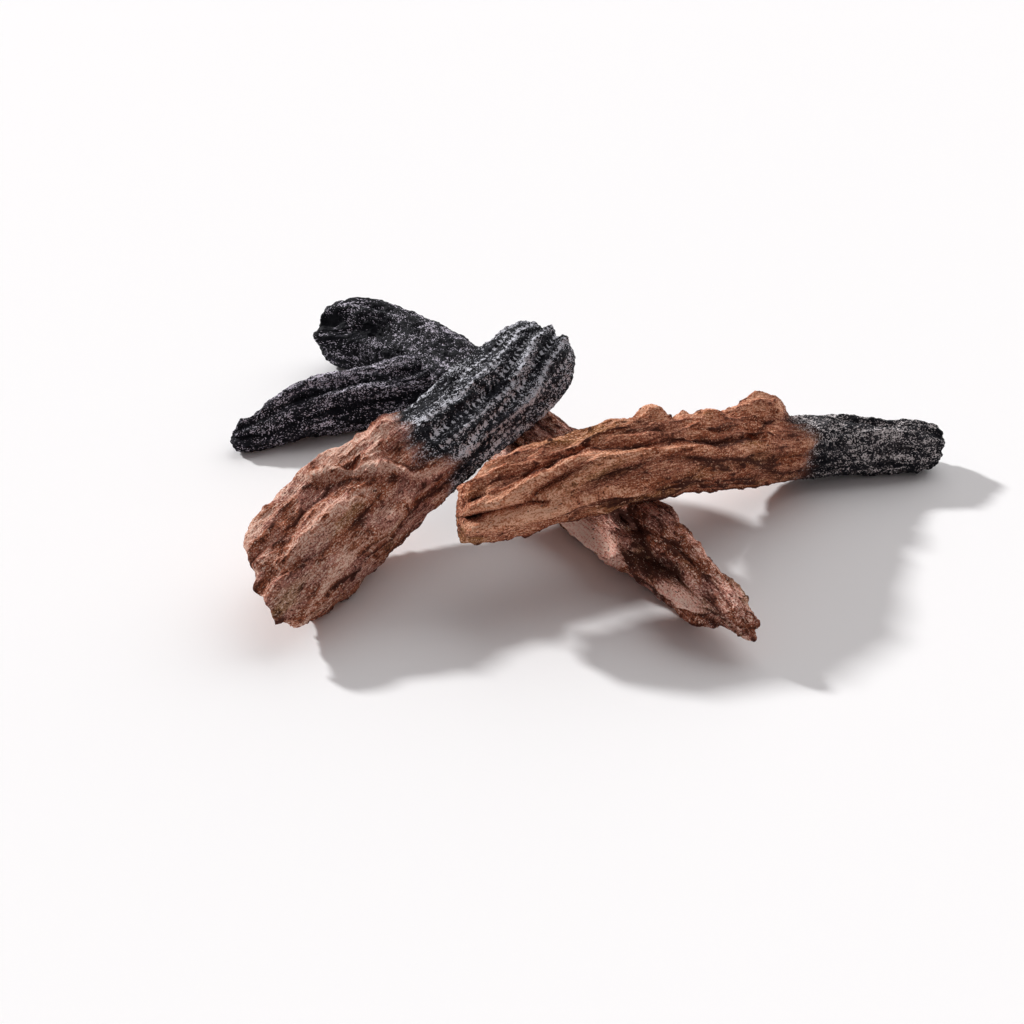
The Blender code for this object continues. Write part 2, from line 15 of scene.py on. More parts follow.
import bpy
import numpy as np
import numpy.typing as npt
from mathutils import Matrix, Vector


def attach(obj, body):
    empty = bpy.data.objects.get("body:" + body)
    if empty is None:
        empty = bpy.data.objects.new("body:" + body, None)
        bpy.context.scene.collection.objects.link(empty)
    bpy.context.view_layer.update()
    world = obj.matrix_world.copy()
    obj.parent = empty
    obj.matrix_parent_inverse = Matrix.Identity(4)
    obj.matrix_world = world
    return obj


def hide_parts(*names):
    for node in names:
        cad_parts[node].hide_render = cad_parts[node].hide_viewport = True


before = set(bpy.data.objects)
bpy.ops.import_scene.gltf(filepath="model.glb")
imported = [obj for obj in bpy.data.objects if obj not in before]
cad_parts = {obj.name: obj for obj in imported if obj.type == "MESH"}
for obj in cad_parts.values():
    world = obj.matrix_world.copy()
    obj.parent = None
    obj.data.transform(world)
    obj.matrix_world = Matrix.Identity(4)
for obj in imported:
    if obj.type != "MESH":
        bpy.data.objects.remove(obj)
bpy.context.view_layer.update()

Array = npt.NDArray[np.float64]
Pair = tuple[float, float]
Triple = tuple[float, float, float]
Colour = tuple[float, float, float]
LOG = logging.getLogger("log_set")

# Added to a log's seed for the noise of its change from brown to black
FRONT_SEED = 70


class LogEnd(Enum):
    """The two ends of a log."""

    FIRST = 0
    LAST = 1


# Shapes that the logs share


def soft_step(start: float, end: float, at: Array) -> Array:
    """Rise smoothly from 0 to 1: t * t * (3 - 2 t), t being the clamped share of the way."""
    part = np.clip((at - start) / (end - start), 0.0, 1.0)
    return part * part * (3 - 2 * part)


def turns_between(turn: Array, centre: Union[Array, float]) -> Array:
    """Signed distance round the log from a centre, in turns by the shorter way: -0.5 to 0.5."""
    return (turn - centre + 0.5) % 1.0 - 0.5


def smooth_curve(table: Array, column: int, at: Array) -> Array:
    """Read a smooth curve through a table: cubic pieces that share their slopes at the rows.

    Args:
        table: Rows of a place, then values.
        column: The column of the values.
        at: The places to read.

    Returns:
        The curve's value at each place.
    """
    places, values = table[:, 0], table[:, column]
    slopes = np.gradient(values, places)
    first = np.clip(np.searchsorted(places, at) - 1, 0, len(places) - 2)
    gap = places[first + 1] - places[first]
    part = (at - places[first]) / gap
    start, end = values[first], values[first + 1]
    start_slope, end_slope = slopes[first] * gap, slopes[first + 1] * gap
    bend = 3 * (end - start) - 2 * start_slope - end_slope
    twist = 2 * (start - end) + start_slope + end_slope
    return start + part * (start_slope + part * (bend + part * twist))


def above_neighbours(height: Array, passes: int) -> Array:
    """How far each point stands above its neighbourhood: its height less the repeated average.

    Each pass takes half of every point and a quarter of the points beside it, round and then along.

    Args:
        height: Heights on the grid, a row for each ring.
        passes: Number of passes.

    Returns:
        The height over the neighbourhood, negative in a hollow.
    """
    mean = height
    for _ in range(passes):
        mean = (np.roll(mean, 1, axis=1) + 2 * mean + np.roll(mean, -1, axis=1)) / 4
        padded = np.pad(mean, ((1, 1), (0, 0)), mode="edge")
        mean = (padded[:-2] + 2 * mean + padded[2:]) / 4
    return height - mean


def outward_normals(points: Array) -> Array:
    """Unit normals of a skin: the cross product of the steps round it and along it, over its length.

    Args:
        points: The skin as rings of points.

    Returns:
        The normal at each point.
    """
    around = np.roll(points, -1, axis=1) - np.roll(points, 1, axis=1)
    normal = np.cross(around, np.gradient(points, axis=0))
    least = 1e-12  # so that no length is 0
    return normal / (np.linalg.norm(normal, axis=-1, keepdims=True) + least)


def keep_on_points(mesh: bpy.types.Mesh, name: str, value: Array, at_poles: Array) -> None:
    """Keep a number or a vector on a log's points, its rings first and its two poles last.

    Args:
        mesh: The log's mesh.
        name: The value's name.
        value: The value at each point of the rings.
        at_poles: The value at the two poles.
    """
    if value.ndim == 3:
        kept = mesh.attributes.new(name, "FLOAT_VECTOR", "POINT")
        flat = np.concatenate((value.reshape(-1, 3), at_poles))
        kept.data.foreach_set("vector", flat.astype(np.float32).ravel())
    else:
        kept = mesh.attributes.new(name, "FLOAT", "POINT")
        flat = np.concatenate((value.reshape(-1), at_poles))
        kept.data.foreach_set("value", flat.astype(np.float32))


@dataclass(frozen=True)
class Strand:
    """A raised or sunken strand of bark that runs along a log.

    Attributes:
        rise: Height of its crest as a share of the log's thickness, negative in a furrow.
        reach: Turns to each side at which it has sunk to about a third.
        path: Places along the log with turns round it, from its first end to its last.
        fade: Share of the log's length over which it starts and stops.
    """

    rise: float
    reach: float
    path: tuple[Pair, ...]
    fade: float = 0.05

    def height(self, along: Array, turn: Array) -> Array:
        """Height over the bark: rise * exp(-(d / reach)^2), d being the turns from its path.

        Args:
            along: Places along the log.
            turn: Places round it.

        Returns:
            The height as a share of the log's thickness.
        """
        places, turns = np.array(self.path).T
        fade = min(self.fade, (places[-1] - places[0]) / 2)
        across = turns_between(turn, np.interp(along, places, turns)) / self.reach
        fade_in = soft_step(places[0] - fade / 2, places[0] + fade, along)
        fade_out = soft_step(places[-1] - fade, places[-1] + fade / 2, along)
        return self.rise * fade_in * (1 - fade_out) * np.exp(-across * across)


@dataclass(frozen=True)
class Knob:
    """A rounded knob on the bark, or a hollow where its rise is negative.

    Attributes:
        rise: Height of its middle as a share of the log's thickness.
        along: Place of its middle along the log.
        turn: Place of its middle round the log.
        reach: Share of the length at which it has sunk to about a third.
        turn_reach: Turns at which it has sunk to about a third.
    """

    rise: float
    along: float
    turn: float
    reach: float
    turn_reach: float

    def height(self, along: Array, turn: Array) -> Array:
        """Height over the bark: rise * exp(-(d^2 + e^2)), the shares of its two reaches.

        Args:
            along: Places along the log.
            turn: Places round it.

        Returns:
            The height as a share of the log's thickness.
        """
        far = (along - self.along) / self.reach
        across = turns_between(turn, self.turn) / self.turn_reach
        return self.rise * np.exp(-far * far - across * across)


@dataclass(frozen=True)
class BeadRow:
    """A row of beads along the charred bark.

    Attributes:
        spacing: Distance between beads as a share of the log's length.
        reach: Turns to each side at which a bead has sunk to about a third.
        path: Places along the log with turns round it.
        stray: How far the beads stray from even spacing, in spacings.
        stray_wave: Radians of that straying for each bead, and for each turn round the log.
        sharpness: How much shorter a bead is than its spacing.
    """

    spacing: float
    reach: float
    path: tuple[Pair, ...]
    stray: float = 0.18
    stray_wave: Pair = (2.1, 9.0)
    sharpness: float = 2.4

    def beads(self, along: Array, turn: Array) -> Array:
        """The beads: exp(-(d / reach)^2 - (sharpness * s)^2).

        d is the turns from the path, and s the spacings from the nearest bead's middle.

        Args:
            along: Places along the log.
            turn: Places round it.

        Returns:
            1 at each bead's middle, falling to 0.
        """
        places, turns = np.array(self.path).T
        across = turns_between(turn, np.interp(along, places, turns)) / self.reach
        count = along / self.spacing
        bead_wave, turn_wave = self.stray_wave
        count = count + self.stray * np.sin(bead_wave * count + turn_wave * self.path[0][1])
        away = count - np.round(count)
        inside = (along > places[0]) & (along < places[-1])
        return inside * np.exp(-across * across - (self.sharpness * away) ** 2)


@dataclass(frozen=True)
class Facet:
    """A flat run along one side of a log, as if split off.

    Attributes:
        start: Its first place along the log.
        end: Its last place along the log.
        turn: The way it faces.
        cut: Share of the log's half thickness that it takes off.
        fade: Share of the log's length over which it starts and stops.
        edge: Sharpness of its long edges.
    """

    start: float
    end: float
    turn: float
    cut: float
    fade: float = 0.08
    edge: float = 9.0

    def kept(self, along: Array, across: Array, upright: Array, half: tuple[Array, Array]) -> Array:
        """Share of the way out from the core that is left, a soft minimum of 1 and the flat.

        Args:
            along: Places along the log.
            across: Distance of the skin to the right of the core.
            upright: Distance of the skin above the core.
            half: Half the width and half the thickness there.

        Returns:
            The share that each point of the skin keeps.
        """
        fade_in = soft_step(self.start - self.fade, self.start + self.fade, along)
        fade_out = soft_step(self.end - self.fade, self.end + self.fade, along)
        cut = self.cut * fade_in * (1 - fade_out)
        face = 2 * np.pi * self.turn
        support = np.hypot(half[0] * np.cos(face), half[1] * np.sin(face))
        toward = np.maximum(across * np.cos(face) + upright * np.sin(face), 0) / support
        over = 1 + (toward / (1 - cut)) ** self.edge
        return (over / (1 + toward**self.edge)) ** (-1 / self.edge)


@dataclass(frozen=True)
class EndCut:
    """How a log ends.

    Attributes:
        jut: How far its slant juts out and in, as a share of the width.
        turn: Where round the log it juts farthest.
        dome: How far its middle swells, as a share of the width.
        torn: How far its rim jags, as a share of the width.
        jags: Waves round the rim that its jags are made of.
    """

    jut: float
    turn: float
    dome: float = 0.03
    torn: float = 0.025
    jags: tuple[int, int] = (3, 7)

    def outward(self, turn: Array, shrink: Array, phase: float) -> Array:
        """How far the end reaches past its place: slant, dome and torn rim added up.

        Args:
            turn: Places round the log.
            shrink: 0 at the middle of the end to 1 at its rim.
            phase: Turns the jags, so that no two ends are alike.

        Returns:
            The reach as a share of the log's width.
        """
        slant = self.jut * np.cos(2 * np.pi * (turn - self.turn)) * shrink
        few, many = (2 * np.pi * waves * turn for waves in self.jags)
        jags = np.sin(few + phase) + np.sin(many - phase)
        return slant + self.dome * (1 - shrink**2) + self.torn * jags * shrink**3


class LatticeNoise:
    """Smooth noise and lumps that are worked out from seeded values on a unit lattice.

    Attributes:
        VALUES: Number of values, after which the lattice repeats.
        GAIN: What brings the smooth noise to about -1 to 1.
    """

    VALUES: int = 256
    GAIN: float = 1.6

    def __init__(self, seed: int) -> None:
        """Draw the lattice's values.

        Args:
            seed: Any whole number. The same one gives the same noise.
        """
        random = np.random.default_rng(seed)
        self._order = random.permutation(self.VALUES)
        slopes = random.normal(size=(self.VALUES, 3))
        self._slopes = slopes / np.linalg.norm(slopes, axis=1, keepdims=True)
        self._spots = random.uniform(0.1, 0.9, size=(self.VALUES, 3))

    def _corner(self, cell: npt.NDArray[np.int64]) -> npt.NDArray[np.int64]:
        """Number of the lattice corner at each cell, by looking it up once for each axis.

        Args:
            cell: Whole numbers of the cells, three for each point.

        Returns:
            A number below VALUES for each point.
        """
        found = np.zeros(cell.shape[:-1], dtype=np.int64)
        for axis in range(cell.shape[-1]):
            found = self._order[(found + cell[..., axis]) % self.VALUES]
        return found

    def smooth(self, points: Array) -> Array:
        """Smooth noise of about -1 to 1: each corner's slope times the way from it, faded between.

        Args:
            points: Points in units of the lattice.

        Returns:
            The noise at each point.
        """
        cell = np.floor(points).astype(np.int64)
        part = points - cell
        fade = part**3 * (part * (part * 6 - 15) + 10)
        total = np.zeros(points.shape[:-1])
        for corner in itertools.product((0, 1), repeat=3):
            slope = self._slopes[self._corner(cell + corner)]
            weight = np.where(corner, fade, 1 - fade).prod(axis=-1)
            total += weight * (slope * (part - corner)).sum(axis=-1)
        return self.GAIN * total

    def lumps(self, points: Array) -> Array:
        """Round lumps, 1 at each seeded spot and falling with the distance to the nearest one.

        Args:
            points: Points in units of the lattice.

        Returns:
            The height at each point, 1 minus the distance.
        """
        cell = np.floor(points).astype(np.int64)
        part = points - cell
        nearest = np.full(points.shape[:-1], np.inf)
        for step in itertools.product((-1, 0, 1), repeat=3):
            spot = self._spots[self._corner(cell + step)] + step
            nearest = np.minimum(nearest, ((spot - part) ** 2).sum(axis=-1))
        return 1 - np.sqrt(nearest)


@dataclass(frozen=True)
class FineForm:
    """One kind of fine form on the bark.

    Attributes:
        height: Its height.
        length: Its length along the log.
        width: Its width across the log.
        offset: Where in the noise it is read, so that no two kinds repeat each other.
    """

    height: float
    length: float
    width: float
    offset: int = 0

    def lattice(self, places: Array) -> Array:
        """Places on the straightened log in units of its length and width, moved by its offset."""
        return places / (self.length, self.width, self.width) + self.offset


@dataclass(frozen=True)
class BarkRelief:
    """The cast relief: broad ridges as on the solids, and over them the fine bark of both finishes.

    Attributes:
        ridge_rise: Height of the broad ridges.
        ridges: Number of broad ridges round a log.
        wander: Length over which the ridges wander.
        waver: How far the fine forms drift across the log, and over what length and width.
        grain: The brown bark's fine grain.
        plates: Its plates, with creases between them.
        knots: Its knotty swellings.
        pits: Its pits.
        cords: The charred bark's cords.
        lumps: Its lumps.
        beads: Height of the beads in its rows.
        crumbs: The crumbs on both.
        splinters: The torn fibres on an end.
        full: Height that the finish takes as full, on the brown and on the charred bark.
    """

    ridge_rise: float = 0.0012
    ridges: int = 7
    wander: float = 0.150
    waver: FineForm = FineForm(0.004, 0.055, 0.028, 40)
    grain: FineForm = FineForm(0.00045, 0.020, 0.0021)
    plates: FineForm = FineForm(0.0016, 0.025, 0.0088, 10)
    knots: FineForm = FineForm(0.0011, 0.0110, 0.0072, 70)
    pits: FineForm = FineForm(0.0011, 0.0065, 0.0034, 20)
    cords: FineForm = FineForm(0.0010, 0.034, 0.0062, 30)
    lumps: FineForm = FineForm(0.0012, 0.0046, 0.0032)
    beads: float = 0.0014
    crumbs: FineForm = FineForm(0.00035, 0.0015, 0.0015, 50)
    splinters: FineForm = FineForm(0.0008, 0.020, 0.0022, 60)
    full: Pair = (0.0010, 0.0016)

    def broad(self, along: Array, turn: Array, length: float, seed: int) -> Array:
        """Wandering ridges with narrow furrows: 2 |sin| - 1.2, swelling and lumpy, calm underneath.

        Args:
            along: Places along the log.
            turn: Places round it.
            length: The log's length.
            seed: The log's own number.

        Returns:
            The height in metres.
        """
        phases = np.random.default_rng(seed).uniform(0, 2 * np.pi, 4)
        waves = 2 * np.pi * along * length / self.wander
        round_angle = 2 * np.pi * turn
        wander = 0.5 * np.sin(waves + phases[0]) + 0.3 * np.sin(2 * waves + round_angle + phases[1])
        ridge = 2 * np.abs(np.sin(self.ridges * round_angle / 2 + wander)) - 1.2
        swell = 1 + 0.5 * np.sin(4 * waves + 2 * round_angle + phases[2])
        lumps = np.sin(3 * waves - 3 * round_angle + phases[3])
        underside = soft_step(0.0, 0.7, -np.sin(round_angle))
        return self.ridge_rise * (ridge * swell + 0.6 * lumps) * (1 - underside)

    def fine(
        self, places: Array, charred: Array, at_end: Array, beads: Array, seed: int
    ) -> tuple[Array, Array, Array]:
        """Fine relief: grain, plates, pits and knots where brown, cords, lumps and beads where black.

        With n for the noise, grain and cords are crests where n passes 0, about 0.6 - 2 |n| high, and
        plates have a crease there, 2.2 |n| - 0.8. An end has torn fibres over half of the bark's relief.

        Args:
            places: Points on the log as if it were straight, along X.
            charred: 0 where brown to 1 where black.
            at_end: 0 on the bark to 1 on an end's face.
            beads: 1 at the middle of each bead of a row, falling to 0.
            seed: The log's own number.

        Returns:
            The height in metres, the same as a number of about -1 to 1, and the lumps from 0 to 1.
        """
        noise = LatticeNoise(seed)
        drift = self.waver.height * noise.smooth(self.waver.lattice(places))
        swirl = places + np.stack((np.zeros_like(drift), drift, -drift), axis=-1)
        grain, plates, pits, knots, cords = (
            noise.smooth(form.lattice(swirl))
            for form in (self.grain, self.plates, self.pits, self.knots, self.cords)
        )
        brown = self.grain.height * (0.6 - 2 * np.abs(grain))
        brown = brown + self.plates.height * (2.2 * np.abs(plates) - 0.8)
        brown = brown - self.pits.height * soft_step(0.25, 0.75, pits) + self.knots.height * knots
        lumps = np.clip(noise.lumps(self.lumps.lattice(swirl)), 0, 1)
        black = self.cords.height * (0.7 - 2 * np.abs(cords)) + self.lumps.height * (2 * lumps - 0.9)
        black = black + self.beads * beads
        crumbs = self.crumbs.height * noise.smooth(self.crumbs.lattice(places))
        torn = self.splinters.height * noise.smooth(self.splinters.lattice(places))
        bark = (1 - charred) * brown + charred * black + crumbs
        height = (1 - at_end) * bark + at_end * (torn + crumbs + 0.5 * bark)
        full_brown, full_black = self.full
        full = (1 - charred) * full_brown + charred * full_black
        return height, np.clip(height / full, -1.5, 1.5), np.maximum(0.8 * lumps, beads)


# Finishes


class Field:
    """A number that varies over a surface. Sums and products of it add Math nodes."""

    def __init__(self, tree: "FinishTree", socket: bpy.types.NodeSocket) -> None:
        """Wrap a socket that gives a number, in a tree."""
        self.tree = tree
        self.socket = socket

    def _math(self, operation: str, first: object, second: object) -> "Field":
        """Add a Math node for one operation on two values."""
        node = self.tree.node("ShaderNodeMath", {"operation": operation}, {0: first, 1: second})
        return Field(self.tree, node.outputs[0])

    def __add__(self, other: Union["Field", float]) -> "Field":
        """This plus another value."""
        return self._math("ADD", self, other)

    def __radd__(self, other: float) -> "Field":
        """A number plus this."""
        return self._math("ADD", other, self)

    def __sub__(self, other: Union["Field", float]) -> "Field":
        """This less another value."""
        return self._math("SUBTRACT", self, other)

    def __rsub__(self, other: float) -> "Field":
        """A number less this."""
        return self._math("SUBTRACT", other, self)

    def __neg__(self) -> "Field":
        """0 less this."""
        return 0.0 - self

    def __mul__(self, other: Union["Field", float]) -> "Field":
        """This times another value."""
        return self._math("MULTIPLY", self, other)

    def __rmul__(self, other: float) -> "Field":
        """A number times this."""
        return self._math("MULTIPLY", other, self)

    def between(self, low: float, high: float) -> "Field":
        """A soft step of this value, 0 below low and 1 above high.

        Args:
            low: Where it leaves 0.
            high: Where it reaches 1.

        Returns:
            The step.
        """
        inputs = {"Value": self, "From Min": low, "From Max": high}
        node = self.tree.node("ShaderNodeMapRange", {"interpolation_type": "SMOOTHSTEP"}, inputs)
        return Field(self.tree, node.outputs["Result"])


class FinishTree:
    """The nodes of one material or world."""

    def __init__(self, owner: Union[bpy.types.Material, bpy.types.World]) -> None:
        """Start with no nodes.

        Args:
            owner: The material or world whose nodes these are.
        """
        owner.use_nodes = True
        self._tree = owner.node_tree
        self._tree.nodes.clear()

    def node(
        self,
        kind: str,
        settings: Optional[Mapping[str, object]] = None,
        inputs: Optional[Mapping[Union[str, int], object]] = None,
    ) -> bpy.types.Node:
        """Add a node.

        Args:
            kind: The node's type.
            settings: Its own settings by name.
            inputs: Values, sockets or Fields for its sockets, by name or number.

        Returns:
            The node.
        """
        made = self._tree.nodes.new(kind)
        for name, value in (settings or {}).items():
            setattr(made, name, value)
        for name, value in (inputs or {}).items():
            if isinstance(value, Field):
                value = value.socket
            if isinstance(value, bpy.types.NodeSocket):
                self._tree.links.new(value, made.inputs[name])
            else:
                made.inputs[name].default_value = value
        return made

    def attribute(self, name: str) -> Field:
        """A number kept on the points of the piece."""
        found = self.node("ShaderNodeAttribute", {"attribute_name": name})
        return Field(self, found.outputs["Fac"])

    def bark_places(self, size: Pair) -> bpy.types.NodeSocket:
        """Places on the straightened log, in units of a length along it and a width across it.

        Args:
            size: The length and the width.

        Returns:
            The vector socket.
        """
        places = self.node("ShaderNodeAttribute", {"attribute_name": "bark_place"})
        length, width = size
        inputs = {"Vector": places.outputs["Vector"], "Scale": (1 / length, 1 / width, 1 / width)}
        return self.node("ShaderNodeMapping", {"vector_type": "POINT"}, inputs).outputs[0]

    def noise(self, size: Pair, detail: float = 2.0, roughness: float = 0.5) -> Field:
        """Noise that follows the log, about 0 to 1, with forms of a length along it and a width."""
        inputs = {"Vector": self.bark_places(size), "Scale": 1.0, "Detail": detail, "Roughness": roughness}
        return Field(self, self.node("ShaderNodeTexNoise", {}, inputs).outputs[0])

    def blend(self, share: Field, first: object, second: object) -> bpy.types.NodeSocket:
        """A colour between two others.

        Args:
            share: 0 for the first to 1 for the second.
            first: A colour or a colour socket.
            second: A colour or a colour socket.

        Returns:
            The colour's socket.
        """
        colours = [(*end, 1.0) if isinstance(end, tuple) else end for end in (first, second)]
        inputs = {0: share, 6: colours[0], 7: colours[1]}
        return self.node("ShaderNodeMix", {"data_type": "RGBA"}, inputs).outputs[2]

    def layers(self, ground: Colour, washes: tuple[tuple[Field, Colour], ...]) -> bpy.types.NodeSocket:
        """Colours painted over a ground, one after another.

        Args:
            ground: The first colour.
            washes: For each later one, the share that it covers and its colour.

        Returns:
            The last blend's socket.
        """
        colour = ground
        for share, wash in washes:
            colour = self.blend(share, colour, wash)
        return colour

    def bump(self, height: Field, distance: float) -> bpy.types.NodeSocket:
        """A normal that follows a height, of which 1 stands for the distance."""
        inputs = {"Height": height, "Distance": distance, "Strength": 1.0}
        return self.node("ShaderNodeBump", {}, inputs).outputs[0]


@dataclass(frozen=True)
class BrownWash:
    """Terracotta bark: dark in its recesses, dry-brushed pink and cream on its grain.

    Attributes:
        deep: Colour of the recesses, partly a dark wash and partly painted shade, and of the dark specks.
        body: Its main colour.
        rosy: Its warmer patches.
        light: The broad crests, partly dry brush and partly painted highlight.
        ochre: Its yellow patches.
        cream: The grains that the dry brush caught, more of them in the lighter places as painted
            highlight.
        pit: Its dark spots.
        roughness: Roughness in the recesses and on the crests.
        patches: Length and width of the rosy patches.
        yellows: Those of the yellow patches.
        stains: Those of the stains.
        grain: Those of the brushed grain.
        crumbs: Those of the brushed crumbs.
        holes: Those of the dark spots.
        bumps: Those of the fine bump.
        tone_parts: How much crests, broad forms and stains count in its tone.
        speck_parts: How much grain and crumbs count in its brushed specks.
    """

    deep: Colour = (0.062, 0.020, 0.014)
    body: Colour = (0.385, 0.126, 0.066)
    rosy: Colour = (0.455, 0.192, 0.148)
    light: Colour = (0.660, 0.330, 0.240)
    ochre: Colour = (0.370, 0.235, 0.110)
    cream: Colour = (0.860, 0.620, 0.500)
    pit: Colour = (0.035, 0.014, 0.011)
    roughness: Pair = (0.88, 0.74)
    patches: Pair = (0.022, 0.011)
    yellows: Pair = (0.045, 0.012)
    stains: Pair = (0.017, 0.006)
    grain: Pair = (0.0052, 0.0007)
    crumbs: Pair = (0.0009, 0.0006)
    holes: Pair = (0.0036, 0.0014)
    bumps: Pair = (0.0045, 0.0009)
    tone_parts: Triple = (0.72, 0.32, 1.8)
    speck_parts: Pair = (3.6, 5.0)

    def colour(self, tree: FinishTree) -> bpy.types.NodeSocket:
        """Rosy and yellow patches, dark recesses, pale crests, brushed specks and dark spots, in turn.

        Args:
            tree: The tree to add its nodes to.

        Returns:
            The colour's socket.
        """
        crest_part, form_part, stain_part = self.tone_parts
        stain = tree.noise(self.stains, 3.0, 0.6) - 0.5
        # the tone is partly the paint's own and partly painted light: crests and lighter places paler,
        # hollows darker
        tone = crest_part * tree.attribute("bark_crest") + form_part * tree.attribute("bark_form")
        tone = tone + tree.attribute("bark_tone_and_light") + stain_part * stain
        grain_part, crumb_part = self.speck_parts
        grain = tree.noise(self.grain, 2.0, 0.6) - 0.5
        crumbs = tree.noise(self.crumbs, 1.0, 0.7) - 0.5
        specks = grain_part * grain + crumb_part * crumbs
        washes = (
            (tree.noise(self.patches, 3.0).between(0.43, 0.58), self.rosy),
            (tree.noise(self.yellows).between(0.53, 0.72) * 0.6, self.ochre),
            # painted shade in the recesses, over a dark wash
            ((-tone).between(-0.05, 1.00) * 0.94, self.deep),
            # painted highlight on the crests, over the dry brush
            (tone.between(-0.05, 1.10) * 0.84, self.light),
            ((-specks - tone * 0.36).between(0.20, 0.85) * 0.86, self.deep),
            # more cream on the crests and in the lighter places: dry brush, partly painted highlight
            ((specks + tone * 0.50).between(0.36, 1.00) * 0.92, self.cream),
            ((-tree.noise(self.holes, 1.0)).between(-0.30, -0.24) * 0.8, self.pit),
        )
        return tree.layers(self.body, washes)

    def height(self, tree: FinishTree) -> Field:
        """Fine grain, about 0 to 1."""
        return tree.noise(self.bumps, 3.0, 0.65)


@dataclass(frozen=True)
class CharredCrust:
    """Blue-black crust: painted sheen and pale ash on its crests, specks all over, partly painted glints.

    Attributes:
        deep: Colour of the furrows and darkest patches, partly painted shade.
        body: Its main colour.
        dust_and_sheen: The greyer crests, partly a grey dusting and partly painted sheen.
        ash_and_glints: The pale specks, partly a pale dry brush and partly painted glints.
        roughness: Roughness of the crust and of the ash.
        scarce: How far the ash keeps to the crests.
        ash_and_glint_clouds: Length and width of the patches with more pale specks.
        specks: Those of its specks.
        clouds: Those of the greyer patches.
        crumbs: Those of the crust's crumbs.
        bumps: Those of the fine bump.
        ash_and_glint_parts: How much crests, broad forms, tone and clouds count in where the pale specks
            lie.
        clot_part: How much that place and the specks count in its clots on lumps and beads.
        lift_parts: How much crests, tone, clouds and crumbs count in how grey it is.
    """

    deep: Colour = (0.003, 0.003, 0.005)
    body: Colour = (0.010, 0.010, 0.014)
    dust_and_sheen: Colour = (0.066, 0.069, 0.088)
    ash_and_glints: Colour = (0.68, 0.68, 0.74)
    roughness: Pair = (0.58, 0.80)
    scarce: float = 0.020
    ash_and_glint_clouds: Pair = (0.016, 0.007)
    specks: Pair = (0.00080, 0.00062)
    clouds: Pair = (0.020, 0.010)
    crumbs: Pair = (0.0012, 0.0010)
    bumps: Pair = (0.0014, 0.0012)
    ash_and_glint_parts: tuple[float, float, float, float] = (0.100, 0.020, 0.10, 0.62)
    clot_part: float = 0.8
    lift_parts: tuple[float, float, float, float] = (0.35, 0.8, 1.4, 2.6)

    def ash_and_glint_share(self, tree: FinishTree) -> Field:
        """Where the pale specks of ash and painted glints lie: tops of lumps and beads, and crumbs between.

        Args:
            tree: The tree to add its nodes to.

        Returns:
            0 where there is none to 1 where it covers the crust.
        """
        crest_part, form_part, tone_part, cloud_part = self.ash_and_glint_parts
        cloud = tree.noise(self.ash_and_glint_clouds) - 0.5
        # pale specks gather on the crests and the lighter places, partly as painted glints
        crest = crest_part * tree.attribute("bark_crest") + form_part * tree.attribute("bark_form")
        place = crest + tone_part * tree.attribute("bark_tone_and_light") + cloud_part * cloud - self.scarce
        specks = tree.noise(self.specks, 0.0)
        lumps = tree.attribute("bark_lumps")
        clots = lumps + self.clot_part * place + self.clot_part * (specks - 0.5)
        return (specks + place).between(0.55, 0.72) * 0.90 + clots.between(0.62, 0.82)

    def colour(self, tree: FinishTree) -> bpy.types.NodeSocket:
        """Black that greys with clouds and crumbs, and towards the crests as painted sheen, under the ash.

        Args:
            tree: The tree to add its nodes to.

        Returns:
            The colour's socket.
        """
        crest_part, tone_part, cloud_part, crumb_part = self.lift_parts
        cloud = tree.noise(self.clouds) - 0.5
        crumbs = tree.noise(self.crumbs, 2.0, 0.7) - 0.5
        # the crests and the lighter places grey the black: painted sheen
        lift = crest_part * tree.attribute("bark_crest") + tone_part * tree.attribute("bark_tone_and_light")
        lift = lift + cloud_part * cloud + crumb_part * crumbs
        washes = (
            (lift.between(-0.5, 0.4), self.body),
            (lift.between(0.10, 0.95), self.dust_and_sheen),
            (self.ash_and_glint_share(tree), self.ash_and_glints),
        )
        return tree.layers(self.deep, washes)

    def height(self, tree: FinishTree) -> Field:
        """Crumbs of about a millimetre, about 0 to 1."""
        return tree.noise(self.bumps, 3.0, 0.65)


@dataclass(frozen=True)
class CastFinish:
    """The painted finish of one log: brown wash, black crust and the airbrushed change between.

    Attributes:
        brown: The brown wash.
        charred: The black crust.
        brown_bump: Depth of the brown bark's fine bump.
        charred_bump: Depth of the crust's.
        specular: Strength of its shine.
        bump_unit: Length that the bump's heights are counted in.
    """

    brown: BrownWash = field(default_factory=BrownWash)
    charred: CharredCrust = field(default_factory=CharredCrust)
    brown_bump: float = 0.0009
    charred_bump: float = 0.0011
    specular: float = 0.07
    bump_unit: float = 0.001

    def material(self, name: str) -> bpy.types.Material:
        """Make the material.

        Args:
            name: Its name.

        Returns:
            The material.
        """
        made = bpy.data.materials.new(name)
        tree = FinishTree(made)
        black = tree.attribute("charred")
        colour = tree.blend(black, self.brown.colour(tree), self.charred.colour(tree))
        ash_and_glints = self.charred.ash_and_glint_share(tree)
        low, high = self.charred.roughness
        crust_rough = low + ash_and_glints * (high - low)
        low, high = self.brown.roughness
        wash_rough = low + tree.attribute("bark_height").between(-0.8, 0.9) * (high - low)
        rough = wash_rough + black * (crust_rough - wash_rough)
        wash_bump = self.brown.height(tree) * self.brown_bump
        crust_bump = self.charred.height(tree) * self.charred_bump
        depth = (wash_bump + black * (crust_bump - wash_bump)) * (1 / self.bump_unit)
        inputs = {
            "Base Color": colour,
            "Roughness": rough,
            "Specular IOR Level": self.specular,
            "Normal": tree.bump(depth, self.bump_unit),
        }
        shader = tree.node("ShaderNodeBsdfPrincipled", {}, inputs)
        tree.node("ShaderNodeOutputMaterial", {}, {0: shader.outputs[0]})
        return made


# Logs


